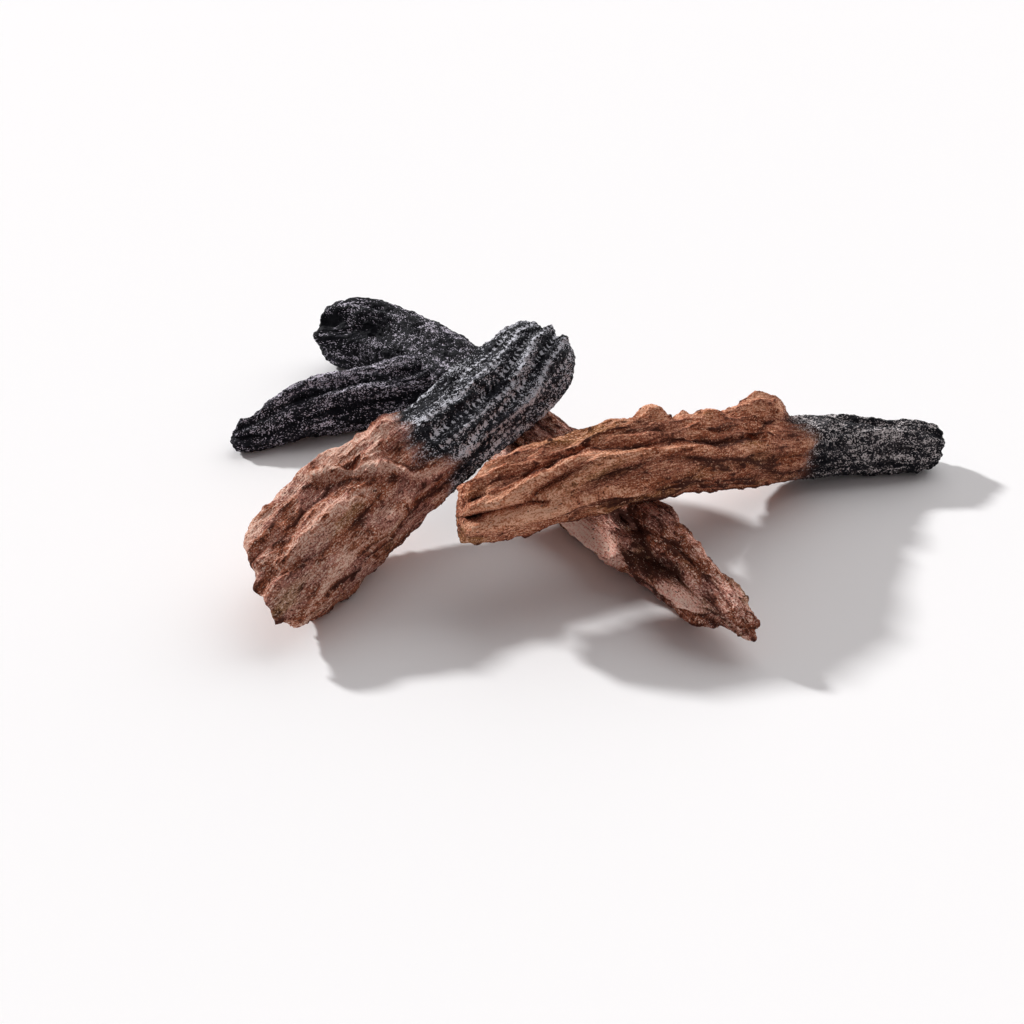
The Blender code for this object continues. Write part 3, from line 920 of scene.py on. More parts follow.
@dataclass(frozen=True)
class CastLog:
    """One cast log, or one branch of it. Its classes below give each its sizes, forms and place.

    Attributes:
        name: Name of the piece.
        body: The body that it rides on, whose solid it dresses.
        length: Distance between its ends along its own axis.
        width: Its full width.
        thickness: Its full thickness.
        heading: Way it points from its first end to its last, in degrees from +X towards +Y.
        foot: Where its first end's axis is.
        core: Rows of place along, then offset to the left and upwards as shares of its length.
        section: Rows of place along, then shares of its width and of its thickness.
        strands: Strands of bark and furrows.
        ends: Its two end cuts.
        front: Turns round it, with the place along it where its brown turns black.
        rings: Rings of points along it.
        sides: Points round it.
        end_rings: Rings of points across each end.
        near_turn: The turn round which the points crowd, the side that is seen closest.
        seed: Number that its bark grows from.
        pitch: How far its last end is raised, in degrees.
        lies_flat: Whether it lies on the floor all along.
        knobs: Knobs and hollows.
        facets: Flat runs.
        black_end: Its black end.
        relief: Its relief.
        bead_rows: Rows of beads on its charred bark.
        tones_and_painted_light: Places brushed lighter, or darker where the rise is negative, partly
            painted highlight and shade.
        finish: Its painted finish.
        crests: Passes of each average that crests are measured from, with a full crest's height.
        highest: Most that the fine relief rises, so that the log stays in its solid's box.
        edge_round: Distance from an end over which its rim is rounded.
        edge_share: Share of its section that the rounding takes off.
        crowding: How much the points crowd, 0 for evenly spread.
        front_blur: Share of its length over which brown turns black.
        front_streaks: Streaks along that change, their height as a share of its length.
        front_lean: How much farther black reaches over a full form, as a share of its length.
        full_forms: Full forms in a thickness, and the height of a full broad ridge.
        face: Shares of the section between which an end's face turns into bark.
    """

    name: str
    body: str
    length: float
    width: float
    thickness: float
    heading: float
    foot: Triple
    core: tuple[Triple, ...]
    section: tuple[Triple, ...]
    strands: tuple[Strand, ...]
    ends: tuple[EndCut, EndCut]
    front: tuple[Pair, ...]
    rings: int
    sides: int
    end_rings: int
    near_turn: float
    seed: int
    pitch: float = 0.0
    lies_flat: bool = False
    knobs: tuple[Knob, ...] = ()
    facets: tuple[Facet, ...] = ()
    black_end: LogEnd = LogEnd.LAST
    relief: BarkRelief = field(default_factory=BarkRelief)
    bead_rows: tuple[BeadRow, ...] = ()
    tones_and_painted_light: tuple[Knob, ...] = ()
    finish: CastFinish = field(default_factory=CastFinish)
    crests: tuple[tuple[int, float], ...] = ((44, 0.0013), (5, 0.0009))
    highest: float = 0.0011
    edge_round: float = 0.006
    edge_share: float = 0.18
    crowding: float = 0.40
    front_blur: float = 0.035
    front_streaks: FineForm = FineForm(0.020, 0.030, 0.004)
    front_lean: float = 0.015
    full_forms: Pair = (9.0, 0.0024)
    face: Pair = (0.70, 0.80)

    def half_section(self, along: Array) -> tuple[Array, Array]:
        """Half the width and half the thickness, by smooth curves through the section's rows.

        Args:
            along: Places along the log.

        Returns:
            The two halves at each place.
        """
        table = np.array(self.section)
        inside = np.clip(along, 0, 1)
        half_width = self.width / 2 * smooth_curve(table, 1, inside)
        return half_width, self.thickness / 2 * smooth_curve(table, 2, inside)

    def core_points(self, along: Array) -> Array:
        """Points of the core line, by smooth curves through its rows, in the log's own frame.

        Where the log lies flat, the core is raised by half the thickness.

        Args:
            along: Places along the log.

        Returns:
            A point for each place.
        """
        table = np.array(self.core)
        left = self.length * smooth_curve(table, 1, along)
        raised = self.length * smooth_curve(table, 2, along)
        if self.lies_flat:
            raised = raised + self.half_section(along)[1]
        return np.stack((self.length * along, left, raised), axis=-1)

    def core_frame(self, along: Array) -> tuple[Array, Array, Array]:
        """Core points, with the ways to the right and up that stand square to the core line.

        The right is the tangent crossed with +Z, and up is the right crossed with the tangent.

        Args:
            along: Places along the log.

        Returns:
            The points, the ways to the right and the ways up.
        """
        step = 0.02
        tangent = self.core_points(along + step) - self.core_points(along - step)
        tangent /= np.linalg.norm(tangent, axis=-1, keepdims=True)
        right = np.cross(tangent, (0.0, 0.0, 1.0))
        right /= np.linalg.norm(right, axis=-1, keepdims=True)
        return self.core_points(along), right, np.cross(right, tangent)

    def grid(self) -> tuple[Array, Array, Array, Array]:
        """The surface's two parameters: rings from pole to pole, and turns round each.

        The turns crowd round the near side: turn = t - c * sin(2 pi (t - n)) / (2 pi), t being evenly
        spread, c the crowding and n the near turn.

        Returns:
            Places along, the part of the way from end to end, the share of the section that each ring
            has, and turns.
        """
        even = np.arange(self.sides) / self.sides
        turn = even - self.crowding * np.sin(2 * np.pi * (even - self.near_turn)) / (2 * np.pi)
        closing = np.linspace(0, 1, self.end_rings + 1)[:-1]
        shrink = np.concatenate((closing, np.ones(self.rings), closing[::-1]))[:, None]
        body = np.linspace(0, 1, self.rings)
        part = np.concatenate((np.zeros(self.end_rings), body, np.ones(self.end_rings)))[:, None]
        reach = self.width / self.length
        first, last = self.ends
        start = -reach * first.outward(turn, shrink, self.seed)
        end = 1 + reach * last.outward(turn, shrink, self.seed + 1)
        along = (1 - part) * start + part * end
        return along, part + 0 * along, shrink + 0 * along, turn + 0 * along

    def charred(self, along: Array, turn: Array, places: Array, form: Array) -> Array:
        """Share of black: a soft step past the front, which wavers along the grain.

        Args:
            along: Places along the log.
            turn: Places round it.
            places: Points on the straightened log.
            form: Height of the bark's broad forms, of about -1 to 1.

        Returns:
            0 where brown to 1 where black.
        """
        turns, shares = np.array(self.front).T
        line = np.interp(turn % 1.0, turns, shares, period=1.0)
        streaks = LatticeNoise(self.seed + FRONT_SEED).smooth(self.front_streaks.lattice(places))
        past = along - line + self.front_streaks.height * streaks
        if self.black_end is LogEnd.FIRST:
            past = -past
        past = past - self.front_lean * form
        return soft_step(-self.front_blur, self.front_blur, past)

    def skin(self) -> tuple[Array, dict[str, Array]]:
        """Points of the skin in the log's own frame, with what its finish reads.

        The skin is the core plus the section's ellipse, cut by the facets and raised by strands,
        knobs and broad ridges. The fine relief then moves each point along its normal.

        Returns:
            The points as rings, and values by name.
        """
        along, part, shrink, turn = self.grid()
        half = self.half_section(along)
        to_end = self.length * np.minimum(part, 1 - part)
        shrink = shrink * (1 - self.edge_share * np.exp(-to_end / self.edge_round))
        across, upright = np.cos(2 * np.pi * turn), np.sin(2 * np.pi * turn)
        kept = np.ones_like(along)
        for facet in self.facets:
            kept = kept * facet.kept(along, half[0] * across, half[1] * upright, half)
        form = sum(piece.height(along, turn) for piece in (*self.strands, *self.knobs))
        broad = self.relief.broad(along, turn, self.length, self.seed)
        rise = (self.thickness * form + broad) * shrink
        to_right = (half[0] * shrink * kept + rise) * across
        to_top = (half[1] * shrink * kept + rise) * upright
        core, right, up = self.core_frame(along)
        points = core + to_right[..., None] * right + to_top[..., None] * up
        places = np.stack((self.length * along, to_right, to_top), axis=-1)
        in_thickness, full_ridge = self.full_forms
        shape = np.clip(form * in_thickness + broad / full_ridge, -1, 1)
        black = self.charred(along, turn, places, shape)
        at_end = 1 - soft_step(*self.face, shrink)
        beads = np.zeros_like(along)
        for row in self.bead_rows:
            beads = np.maximum(beads, row.beads(along, turn))
        height, fine, lumps = self.relief.fine(places, black, at_end, beads, self.seed)
        points = points + np.minimum(height, self.highest)[..., None] * outward_normals(points)
        # crests and hollows, which the finishes paint paler and darker: partly painted highlight and shade
        crest = sum(above_neighbours(rise + height, passes) / full for passes, full in self.crests)
        values = {
            "charred": black,
            "bark_height": fine,
            "bark_form": shape,
            # lighter and darker places, partly painted highlight and shade
            "bark_tone_and_light": sum((spot.height(along, turn) for spot in self.tones_and_painted_light), np.zeros_like(along)),
            "bark_lumps": lumps,
            "bark_crest": np.clip(crest, -1.6, 1.6),
            "bark_place": places,
        }
        return points, values

    def placed(self, points: Array) -> Array:
        """Points turned to the log's heading and pitch and moved to its foot, none below the floor.

        Args:
            points: Points in the log's own frame.

        Returns:
            Points in the shared frame.
        """
        heading, pitch = np.radians(self.heading), np.radians(self.pitch)
        forth, raised = np.cos(pitch), np.sin(pitch)
        lean = np.array(((forth, 0, -raised), (0, 1, 0), (raised, 0, forth)))
        forth, aside = np.cos(heading), np.sin(heading)
        turn = np.array(((forth, -aside, 0), (aside, forth, 0), (0, 0, 1)))
        placed = points @ (turn @ lean).T + np.array(self.foot)
        placed[..., 2] = np.maximum(placed[..., 2], 0.0)
        return placed

    def build(self) -> bpy.types.Object:
        """Make the log's mesh: rings of points joined by quads, each end closed by a middle point.

        Returns:
            The object, at the origin with its place in its mesh.
        """
        rings, values = self.skin()
        rings = self.placed(rings)
        poles = np.stack((rings[0].mean(axis=0), rings[-1].mean(axis=0)))
        inner = slice(1, len(rings) - 1)
        points = np.concatenate((rings[inner].reshape(-1, 3), poles))
        count = len(rings) - 2
        side = np.arange(self.sides)
        after = (side + 1) % self.sides
        starts = (np.arange(count - 1) * self.sides)[:, None]
        nexts = starts + self.sides
        quads = np.stack((starts + side, starts + after, nexts + after, nexts + side), axis=-1)
        top = (count - 1) * self.sides
        first_pole, last_pole = len(points) - 2, len(points) - 1
        first = np.stack((np.full_like(side, first_pole), after, side), axis=-1)
        last = np.stack((np.full_like(side, last_pole), top + side, top + after), axis=-1)
        faces = [*quads.reshape(-1, 4).tolist(), *first.tolist(), *last.tolist()]
        mesh = bpy.data.meshes.new(self.name)
        mesh.from_pydata(points.tolist(), [], faces)
        for name, value in values.items():
            keep_on_points(mesh, name, value[inner], value[[0, -1]].mean(axis=1))
        mesh.shade_smooth()
        made = bpy.data.objects.new(self.name, mesh)
        bpy.context.scene.collection.objects.link(made)
        return made

    def dress(self, made: bpy.types.Object) -> None:
        """Paint the log, and let it ride on its body.

        Args:
            made: The log's object.
        """
        made.data.materials.append(self.finish.material(self.name + "_finish"))
        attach(made, self.body)
        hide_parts(self.body)


# The trunk and the side prong are one casting, and have the same finish
BASE_FINISH = CastFinish(
    # paler crests and cream than the other logs', partly painted highlight on the trunk's lobe
    brown=BrownWash(light=(0.920, 0.440, 0.340), cream=(0.980, 0.720, 0.600)),
    charred=CharredCrust(dust_and_sheen=(0.062, 0.055, 0.076), ash_and_glints=(0.72, 0.67, 0.77), scarce=0.045),
)


@dataclass(frozen=True)
class Trunk(CastLog):
    """The base log's trunk, from its pointed brown tip to the end of its back prong."""

    name: str = "base_log_trunk"
    body: str = "base_log"
    length: float = 0.362
    width: float = 0.047
    thickness: float = 0.035
    heading: float = 124.4
    foot: Triple = (0.06195, -0.15582, -0.0012)
    lies_flat: bool = True
    core: tuple[Triple, ...] = (
        (0.00, 0.000, 0.028), (0.09, -0.010, 0.016), (0.18, -0.027, 0.003), (0.30, -0.041, 0.000),
        (0.41, -0.050, 0.000), (0.50, -0.058, 0.000), (0.63, -0.074, 0.000), (0.78, -0.083, 0.000),
        (0.87, -0.080, 0.000), (0.95, -0.050, 0.000), (1.00, 0.000, 0.002),
    )
    section: tuple[Triple, ...] = (
        (0.00, 0.40, 0.45), (0.05, 0.48, 0.60), (0.12, 0.53, 0.76), (0.20, 0.68, 0.92), (0.30, 0.86, 0.97),
        (0.50, 0.88, 1.00), (0.70, 0.96, 1.00), (0.80, 1.05, 1.10), (0.90, 0.94, 1.14), (0.97, 0.84, 1.14),
        (1.00, 0.76, 1.10),
    )
    strands: tuple[Strand, ...] = (
        Strand(0.08, 0.055, (
            (-0.06, 0.29), (0.01, 0.27), (0.07, 0.22), (0.14, 0.19), (0.21, 0.17), (0.27, 0.16),
        )),
        Strand(-0.17, 0.045, (
            (0.08, 0.41), (0.12, 0.42), (0.16, 0.42), (0.19, 0.38), (0.23, 0.33), (0.40, 0.34),
        )),
        Strand(0.13, 0.070, ((0.195, 0.50), (0.24, 0.50), (0.29, 0.48), (0.36, 0.47), (0.44, 0.46)), 0.02),
        Strand(-0.13, 0.045, ((-0.15, 0.36), (0.02, 0.36), (0.06, 0.35)), 0.03),
        Strand(0.07, 0.030, ((0.02, 0.50), (0.05, 0.47), (0.09, 0.465), (0.13, 0.50), (0.18, 0.52))),
        Strand(0.06, 0.035, ((0.74, 0.19), (0.80, 0.21), (0.84, 0.245), (0.92, 0.27), (1.05, 0.28))),
        Strand(-0.09, 0.050, ((0.84, 0.33), (0.92, 0.37), (1.05, 0.39))),
        Strand(0.06, 0.040, ((0.84, 0.41), (0.95, 0.44), (1.05, 0.46))),
    )
    knobs: tuple[Knob, ...] = (
        Knob(-0.12, 0.115, 0.365, 0.025, 0.035),
        Knob(-0.20, 0.030, 0.46, 0.014, 0.04),
        Knob(-0.20, 1.000, 0.33, 0.022, 0.045),
        Knob(0.07, 0.975, 0.22, 0.030, 0.060),
    )
    facets: tuple[Facet, ...] = (Facet(-0.3, 0.046, 0.60, 0.76, 0.008),)
    ends: tuple[EndCut, EndCut] = (EndCut(0.12, 0.97, 0.01, 0.02), EndCut(0.04, 0.30, 0.08, 0.02))
    front: tuple[Pair, ...] = ((0.0, 0.60), (0.5, 0.60))
    rings: int = 430
    sides: int = 210
    end_rings: int = 14
    near_turn: float = 0.40
    seed: int = 11
    # the lobe painted lighter as painted highlight, and darker places beside it as painted shade, over the
    # brush's tone
    tones_and_painted_light: tuple[Knob, ...] = (
        Knob(2.00, 0.28, 0.50, 0.065, 0.09),
        Knob(-0.78, 0.20, 0.36, 0.100, 0.08),
        Knob(-0.40, 0.15, 0.22, 0.100, 0.10),
        Knob(0.70, 0.07, 0.46, 0.035, 0.09),
        Knob(-1.40, 0.155, 0.52, 0.050, 0.07),
        Knob(-1.30, 0.028, 0.47, 0.016, 0.06),
        Knob(-0.30, 0.55, 0.20, 0.080, 0.20),
        Knob(-0.45, 0.93, 0.35, 0.130, 0.30),
    )
    finish: CastFinish = BASE_FINISH


@dataclass(frozen=True)
class SideProng(CastLog):
    """The base log's side prong, from inside the trunk to its own tip, black all along."""

    name: str = "base_log_side_prong"
    body: str = "base_log"
    length: float = 0.122
    width: float = 0.035
    thickness: float = 0.033
    heading: float = 206.0
    foot: Triple = (-0.07278, 0.09413, -0.0012)
    lies_flat: bool = True
    core: tuple[Triple, ...] = (
        (0.00, 0.000, 0.050), (0.25, 0.045, 0.004), (0.49, 0.018, 0.012), (0.73, 0.008, 0.018),
        (0.91, 0.006, 0.000), (1.00, 0.000, 0.006),
    )
    section: tuple[Triple, ...] = (
        (0.00, 0.70, 0.66), (0.20, 0.95, 0.94), (0.45, 0.93, 0.94), (0.70, 0.80, 0.80), (0.88, 0.62, 0.60),
        (1.00, 0.50, 0.48),
    )
    strands: tuple[Strand, ...] = (
        Strand(0.10, 0.050, (
            (0.02, 0.19), (0.27, 0.19), (0.42, 0.18), (0.57, 0.21), (0.81, 0.26), (1.1, 0.24),
        )),
        Strand(0.05, 0.025, ((0.20, 0.40), (0.40, 0.36), (0.55, 0.36), (0.70, 0.33))),
        Strand(-0.09, 0.055, ((0.18, 0.46), (0.41, 0.45), (0.62, 0.46))),
        Strand(-0.06, 0.030, ((0.20, 0.29), (0.50, 0.29), (0.75, 0.31))),
    )
    ends: tuple[EndCut, EndCut] = (EndCut(0.0, 0.0, 0.03, 0.025), EndCut(0.10, 0.55, 0.14, 0.01))
    front: tuple[Pair, ...] = ((0.0, -1.0), (0.5, -1.0))
    rings: int = 220
    sides: int = 200
    end_rings: int = 12
    near_turn: float = 0.35
    seed: int = 12
    # lighter along its top and darker on its left side: painted highlight and shade
    tones_and_painted_light: tuple[Knob, ...] = (Knob(0.50, 0.50, 0.24, 0.40, 0.12), Knob(-0.30, 0.50, 0.55, 0.50, 0.12))
    finish: CastFinish = BASE_FINISH


@dataclass(frozen=True)
class LeftLog(CastLog):
    """The short broad log, from its brown end on the floor to its black end in the air."""

    name: str = "left_log_casting"
    body: str = "left_log"
    length: float = 0.205
    width: float = 0.064
    thickness: float = 0.054
    heading: float = 53.0
    pitch: float = 11.367
    foot: Triple = (-0.14357, -0.12526, 0.01763)
    core: tuple[Triple, ...] = (
        (0.00, 0.004, 0.000), (0.18, 0.010, 0.002), (0.36, 0.012, 0.008), (0.49, 0.002, 0.014),
        (0.61, -0.006, 0.016), (0.79, -0.010, 0.010), (0.92, -0.006, 0.003), (1.00, 0.000, 0.000),
    )
    section: tuple[Triple, ...] = (
        (0.00, 0.83, 0.84), (0.10, 0.89, 0.90), (0.25, 0.90, 0.92), (0.45, 0.82, 0.86), (0.60, 0.72, 0.77),
        (0.80, 0.72, 0.76), (0.92, 0.73, 0.75), (1.00, 0.68, 0.70),
    )
    strands: tuple[Strand, ...] = (
        Strand(0.07, 0.035, ((-0.20, 0.36), (0.04, 0.35), (0.15, 0.385), (0.27, 0.375), (0.36, 0.36))),
        Strand(-0.06, 0.042, ((-0.15, 0.18), (0.00, 0.215), (0.06, 0.25), (0.14, 0.285), (0.26, 0.30))),
        Strand(0.05, 0.028, ((-0.15, 0.14), (0.03, 0.19), (0.09, 0.20), (0.16, 0.19), (0.24, 0.17))),
        Strand(0.05, 0.030, (
            (-0.15, 0.00), (0.04, 0.05), (0.09, 0.07), (0.17, 0.08), (0.26, 0.07), (0.36, 0.06),
        )),
        Strand(0.06, 0.025, (
            (0.23, 0.33), (0.28, 0.28), (0.30, 0.23), (0.33, 0.20), (0.37, 0.16), (0.39, 0.12),
        ), 0.02),
        Strand(0.07, 0.026, (
            (0.36, 0.13), (0.42, 0.09), (0.51, 0.065), (0.62, 0.04), (0.78, 0.05), (0.89, 0.11),
            (1.1, 0.14),
        )),
        Strand(0.05, 0.028, ((0.32, 0.23), (0.39, 0.25), (0.45, 0.28), (0.50, 0.33)), 0.03),
        Strand(0.045, 0.030, ((0.57, 0.36), (0.75, 0.37), (0.94, 0.36), (1.1, 0.35))),
        Strand(0.045, 0.026, ((0.47, 0.22), (0.64, 0.21), (0.79, 0.24), (0.93, 0.28), (1.1, 0.29))),
        Strand(0.045, 0.026, ((0.50, 0.12), (0.65, 0.12), (0.79, 0.14), (0.92, 0.20), (1.1, 0.22))),
        Strand(0.045, 0.030, ((0.52, 0.01), (0.68, -0.05), (0.83, -0.06), (1.1, 0.02))),
        Strand(-0.05, 0.022, ((0.60, 0.155), (0.69, 0.15), (0.80, 0.18), (0.93, 0.24), (1.1, 0.25))),
        Strand(-0.06, 0.022, ((0.72, 0.085), (0.83, 0.10), (0.93, 0.16), (1.1, 0.18))),
    )
    knobs: tuple[Knob, ...] = (
        Knob(0.06, 0.36, 0.29, 0.09, 0.07),
        Knob(-0.07, 0.405, 0.205, 0.04, 0.035),
        Knob(-0.06, 0.23, 0.24, 0.06, 0.045),
        Knob(0.05, 0.25, 0.17, 0.025, 0.030),
        Knob(-0.04, 0.25, 0.17, 0.010, 0.012),
    )
    facets: tuple[Facet, ...] = (Facet(-0.3, 0.40, 0.20, 0.13), Facet(-0.3, 0.50, 0.945, 0.20))
    ends: tuple[EndCut, EndCut] = (EndCut(0.34, 0.10, 0.04, 0.004), EndCut(0.10, 0.22, 0.09, 0.010))
    bead_rows: tuple[BeadRow, ...] = (
        BeadRow(0.020, 0.013, ((0.55, 0.36), (0.75, 0.375), (0.94, 0.37), (1.1, 0.36))),
        BeadRow(0.018, 0.012, ((0.55, 0.29), (0.75, 0.31), (0.94, 0.32), (1.1, 0.32))),
        BeadRow(0.021, 0.013, ((0.50, 0.22), (0.64, 0.21), (0.79, 0.24), (0.93, 0.28), (1.1, 0.29))),
        BeadRow(0.017, 0.011, ((0.50, 0.165), (0.64, 0.16), (0.79, 0.185), (0.93, 0.24), (1.1, 0.25))),
        BeadRow(0.021, 0.013, ((0.50, 0.12), (0.65, 0.12), (0.79, 0.14), (0.92, 0.20), (1.1, 0.22))),
        BeadRow(0.019, 0.012, ((0.55, 0.07), (0.65, 0.08), (0.79, 0.10), (0.92, 0.155), (1.1, 0.18))),
        BeadRow(0.021, 0.013, ((0.53, 0.055), (0.62, 0.035), (0.78, 0.05), (0.89, 0.11), (1.1, 0.14))),
        BeadRow(0.018, 0.012, ((0.60, -0.02), (0.78, 0.00), (0.89, 0.05), (1.1, 0.09))),
    )
    front: tuple[Pair, ...] = (
        (0.04, 0.48), (0.08, 0.465), (0.13, 0.45), (0.19, 0.455), (0.26, 0.475), (0.37, 0.52), (0.70, 0.50),
    )
    rings: int = 310
    sides: int = 270
    end_rings: int = 22
    near_turn: float = 0.17
    seed: int = 13
    # lighter places on its top and on the black end's right side, a darker one on its right side: brushed
    # tone, partly painted highlight and shade
    tones_and_painted_light: tuple[Knob, ...] = (
        Knob(0.75, 0.36, 0.32, 0.080, 0.08),
        Knob(0.24, 0.13, 0.20, 0.130, 0.130),
        Knob(0.22, 0.05, 0.10, 0.060, 0.10),
        Knob(-0.25, 0.30, 0.03, 0.100, 0.05),
        Knob(0.35, 0.56, 0.28, 0.060, 0.08),
        Knob(0.55, 0.80, 0.03, 0.170, 0.140),
    )


@dataclass(frozen=True)
class RightLog(CastLog):
    """The long slender log, from its black tip on the floor to its brown end of two lobes."""

    name: str = "right_log_casting"
    body: str = "right_log"
    length: float = 0.279
    width: float = 0.042
    thickness: float = 0.037
    heading: float = 209.4
    pitch: float = 7.834
    foot: Triple = (0.18132, 0.02406, 0.01025)
    core: tuple[Triple, ...] = (
        (0.00, 0.000, 0.000), (0.06, -0.021, 0.000), (0.14, -0.049, -0.002), (0.22, -0.072, -0.004),
        (0.30, -0.077, 0.001), (0.38, -0.064, 0.014), (0.46, -0.043, 0.030), (0.54, -0.019, 0.045),
        (0.62, 0.000, 0.056), (0.70, 0.009, 0.057), (0.78, 0.008, 0.048), (0.86, 0.004, 0.032),
        (0.94, 0.002, 0.014), (1.00, 0.000, 0.000),
    )
    section: tuple[Triple, ...] = (
        (0.00, 0.66, 0.68), (0.04, 0.72, 0.74), (0.10, 0.74, 0.76), (0.17, 0.76, 0.78), (0.24, 0.86, 0.86),
        (0.38, 0.94, 0.94), (0.57, 0.97, 0.95), (0.74, 0.98, 0.94), (0.87, 0.92, 0.90), (0.96, 0.82, 0.82),
        (1.00, 0.70, 0.70),
    )
    strands: tuple[Strand, ...] = (
        Strand(0.05, 0.040, (
            (0.68, 0.18), (0.76, 0.16), (0.84, 0.16), (0.90, 0.19), (0.98, 0.24), (1.1, 0.27),
        )),
        Strand(-0.09, 0.033, ((0.78, 0.285), (0.82, 0.29), (0.87, 0.305), (0.925, 0.32), (0.98, 0.35))),
        Strand(0.06, 0.026, ((0.78, 0.335), (0.84, 0.345), (0.89, 0.365), (0.935, 0.385), (0.99, 0.395))),
        Strand(-0.09, 0.026, ((0.80, 0.365), (0.85, 0.385), (0.915, 0.41))),
        Strand(0.09, 0.032, (
            (0.26, 0.41), (0.40, 0.425), (0.505, 0.43), (0.57, 0.42), (0.64, 0.385), (0.70, 0.37),
            (0.76, 0.38), (0.81, 0.40), (0.85, 0.42), (0.90, 0.435), (0.98, 0.43),
        )),
        Strand(0.06, 0.030, ((0.315, 0.23), (0.39, 0.33), (0.44, 0.39)), 0.02),
        Strand(0.05, 0.028, (
            (0.03, 0.33), (0.085, 0.34), (0.155, 0.365), (0.23, 0.40), (0.33, 0.42), (0.415, 0.43),
        )),
        Strand(-0.12, 0.030, (
            (0.345, 0.27), (0.38, 0.31), (0.43, 0.36), (0.495, 0.385), (0.56, 0.38), (0.655, 0.335),
            (0.71, 0.33), (0.78, 0.30),
        ), 0.03),
        Strand(0.07, 0.032, (
            (0.69, 0.52), (0.78, 0.47), (0.84, 0.475), (0.89, 0.49), (0.99, 0.49), (1.1, 0.49),
        )),
        # the mouth between the two lobes
        Strand(-0.22, 0.022, (
            (0.88, 0.455), (0.915, 0.445), (0.945, 0.435), (0.98, 0.43), (1.1, 0.41),
        ), 0.03),
        Strand(0.05, 0.020, ((0.68, 0.57), (0.74, 0.51), (0.79, 0.48), (0.84, 0.50)), 0.02),
        Strand(-0.07, 0.028, ((0.065, 0.44), (0.155, 0.47), (0.205, 0.50), (0.28, 0.50))),
    )
    knobs: tuple[Knob, ...] = (
        # its small and its big knob, the big one's steps, and the bumps between the two
        Knob(0.24, 0.638, 0.190, 0.021, 0.055),
        Knob(0.24, 0.344, 0.185, 0.036, 0.070),
        Knob(0.13, 0.308, 0.175, 0.016, 0.055),
        Knob(0.10, 0.372, 0.190, 0.018, 0.050),
        Knob(0.08, 0.403, 0.190, 0.022, 0.050),
        Knob(0.07, 0.434, 0.180, 0.018, 0.040),
        Knob(0.06, 0.500, 0.200, 0.018, 0.040),
        Knob(0.06, 0.573, 0.200, 0.020, 0.040),
        # a hollow where the black starts, a nick in the brown end's rim and the mouth between its lobes
        Knob(-0.08, 0.285, 0.190, 0.018, 0.060),
        Knob(-0.18, 0.985, 0.320, 0.012, 0.022),
        Knob(-0.26, 1.000, 0.435, 0.022, 0.032),
    )
    ends: tuple[EndCut, EndCut] = (EndCut(0.06, 0.30, 0.10, 0.006), EndCut(0.12, 0.62, 0.07, 0.008))
    front: tuple[Pair, ...] = ((0.19, 0.304), (0.35, 0.304), (0.45, 0.295), (0.59, 0.281), (0.80, 0.281))
    black_end: LogEnd = LogEnd.FIRST
    rings: int = 380
    sides: int = 230
    end_rings: int = 16
    near_turn: float = 0.35
    seed: int = 14
    # a lighter lobe and black part, a darker mouth and left side: brushed tone, partly painted highlight
    # and shade
    tones_and_painted_light: tuple[Knob, ...] = (
        Knob(0.95, 0.93, 0.45, 0.070, 0.12),
        Knob(-1.20, 0.995, 0.435, 0.014, 0.030),
        Knob(-0.60, 0.52, 0.52, 0.200, 0.12),
        Knob(0.60, 0.12, 0.35, 0.120, 0.25),
    )
    finish: CastFinish = CastFinish(
        brown=BrownWash(
            body=(0.340, 0.098, 0.046),
            rosy=(0.430, 0.155, 0.092),
            light=(0.600, 0.228, 0.122),
            ochre=(0.360, 0.190, 0.072),
            cream=(0.860, 0.500, 0.340),
        ),
        charred=CharredCrust(dust_and_sheen=(0.066, 0.059, 0.064), ash_and_glints=(0.78, 0.72, 0.72), scarce=0.038),
    )
    front_blur: float = 0.055


# Studio


@dataclass(frozen=True)
class Lamp:
    """A distant light.

    Attributes:
        name: Its name.
        heading: Way that its shadows point, in degrees from +X towards +Y.
        elevation: Its height above the horizon, in degrees.
        strength: Its strength.
        size: How wide it is, in degrees.
    """

    name: str
    heading: float
    elevation: float
    strength: float
    size: float

    def hang(self) -> None:
        """Add the light to the scene."""
        lamp = bpy.data.lights.new(self.name, "SUN")
        lamp.energy = self.strength
        lamp.angle = np.radians(self.size)
        hung = bpy.data.objects.new(self.name, lamp)
        heading, height = np.radians(self.heading), np.radians(self.elevation)
        way = Vector((np.cos(heading) * np.cos(height), np.sin(heading) * np.cos(height), -np.sin(height)))
        hung.rotation_euler = way.to_track_quat("-Z", "Y").to_euler()
        bpy.context.scene.collection.objects.link(hung)


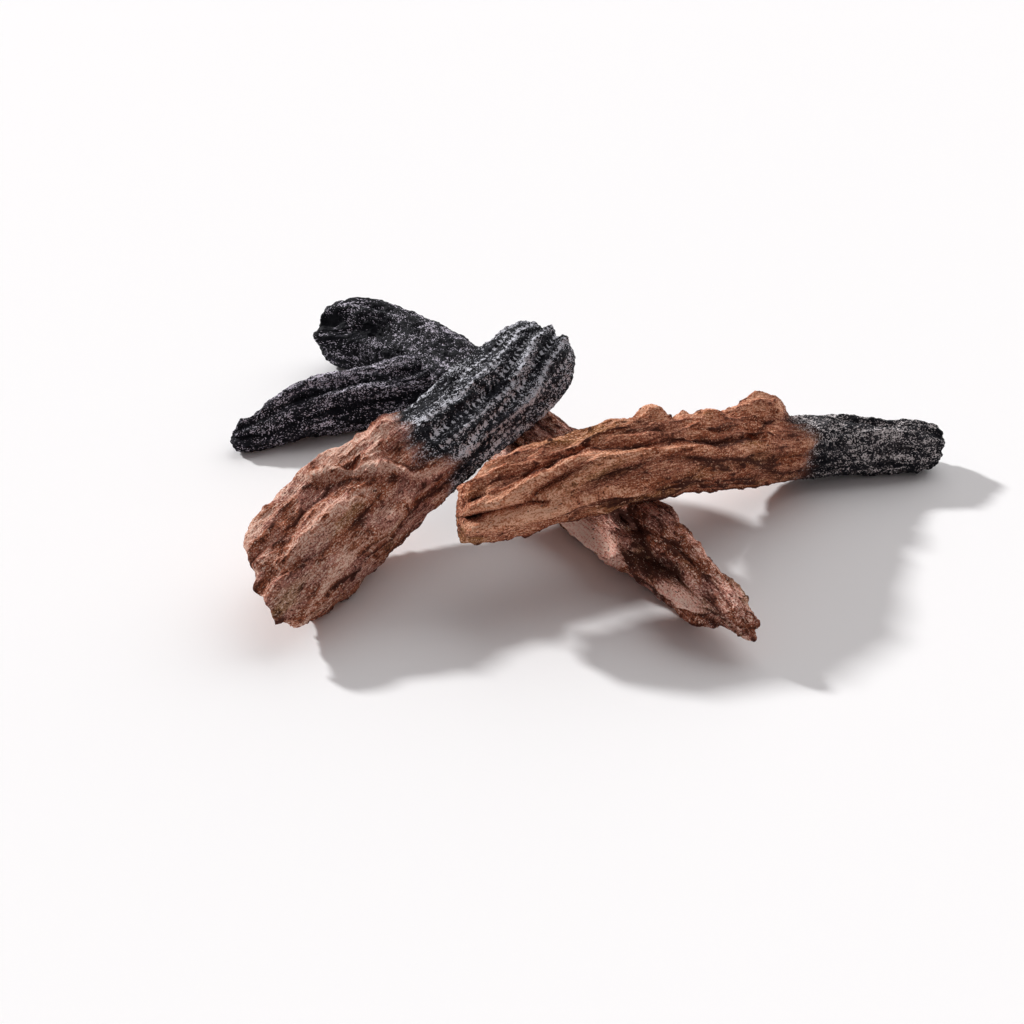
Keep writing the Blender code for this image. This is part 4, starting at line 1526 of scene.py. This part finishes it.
@dataclass(frozen=True)
class Studio:
    """Pale floor, light from behind on the left, softer light from behind on the right, and camera.

    Attributes:
        floor_size: Side of the floor.
        floor_colour: Its colour.
        lens: The camera's lens, in millimetres.
        distance: Distance from the camera to the point that it looks at.
        elevation: The camera's height above the horizon, in degrees.
        target: The point that it looks at.
        lamps: A window's light, and the wide soft light beside it.
        fill: Strength of the light from all round.
        fill_colour: Its colour, faintly warm.
    """

    floor_size: float = 12.0
    floor_colour: Colour = (0.972, 0.968, 0.972)
    lens: float = 70.0
    distance: float = 1.004
    elevation: float = 30.0
    target: Triple = (-0.03795, -0.02572, 0.0)
    lamps: tuple[Lamp, ...] = (
        Lamp("window", -37.0, 29.0, 3.14, 5.0),
        Lamp("soft_light", -122.0, 41.0, 1.52, 80.0),
    )
    fill: float = 0.212
    fill_colour: Colour = (1.0, 0.92, 0.93)

    def lay_floor(self) -> None:
        """Lay the floor, a flat square with the pieces at its middle."""
        reach = self.floor_size / 2
        corners = [(-reach, -reach, 0.0), (reach, -reach, 0.0), (reach, reach, 0.0), (-reach, reach, 0.0)]
        mesh = bpy.data.meshes.new("floor")
        mesh.from_pydata(corners, [], [(0, 1, 2, 3)])
        material = bpy.data.materials.new("floor")
        tree = FinishTree(material)
        inputs = {"Base Color": (*self.floor_colour, 1.0), "Roughness": 0.9, "Specular IOR Level": 0.1}
        shader = tree.node("ShaderNodeBsdfPrincipled", {}, inputs)
        tree.node("ShaderNodeOutputMaterial", {}, {0: shader.outputs[0]})
        mesh.materials.append(material)
        floor = bpy.data.objects.new("floor", mesh)
        bpy.context.scene.collection.objects.link(floor)

    def light(self) -> None:
        """Hang the lamps, light the rest evenly from all round, and leave the background white."""
        for lamp in self.lamps:
            lamp.hang()
        world = bpy.data.worlds.new("studio")
        bpy.context.scene.world = world
        tree = FinishTree(world)
        rays = tree.node("ShaderNodeLightPath")
        seen = sum(
            (Field(tree, rays.outputs[f"Is {name} Ray"]) for name in ("Glossy", "Transmission")),
            Field(tree, rays.outputs["Is Camera Ray"]),
        )
        inputs = {"Color": (*self.fill_colour, 1.0), "Strength": self.fill}
        dim = tree.node("ShaderNodeBackground", {}, inputs)
        white = tree.node("ShaderNodeBackground", {}, {"Color": (1, 1, 1, 1), "Strength": 1.0})
        both = tree.node("ShaderNodeMixShader", {}, {0: seen, 1: dim.outputs[0], 2: white.outputs[0]})
        tree.node("ShaderNodeOutputWorld", {}, {0: both.outputs[0]})

    def aim(self) -> None:
        """Set up the camera."""
        camera = bpy.data.objects.new("camera", bpy.data.cameras.new("camera"))
        camera.data.lens = self.lens
        camera.data.sensor_width = 36.0
        height = np.radians(self.elevation)
        way = Vector((0.0, np.cos(height), -np.sin(height)))
        camera.location = Vector(self.target) - self.distance * way
        camera.rotation_euler = way.to_track_quat("-Z", "Y").to_euler()
        bpy.context.scene.collection.objects.link(camera)
        bpy.context.scene.camera = camera


def main() -> None:
    """Build the logs and the studio, and report each piece."""
    logging.basicConfig(level=logging.INFO, format="%(name)s: %(message)s")
    bpy.context.scene.view_settings.view_transform = "Standard"
    for log in (Trunk(), SideProng(), LeftLog(), RightLog()):
        made = log.build()
        log.dress(made)
        LOG.info("%s has %d faces", made.name, len(made.data.polygons))
    studio = Studio()
    studio.lay_floor()
    studio.light()
    studio.aim()
    LOG.info("the studio is set")


if __name__ == "__main__":
    main()
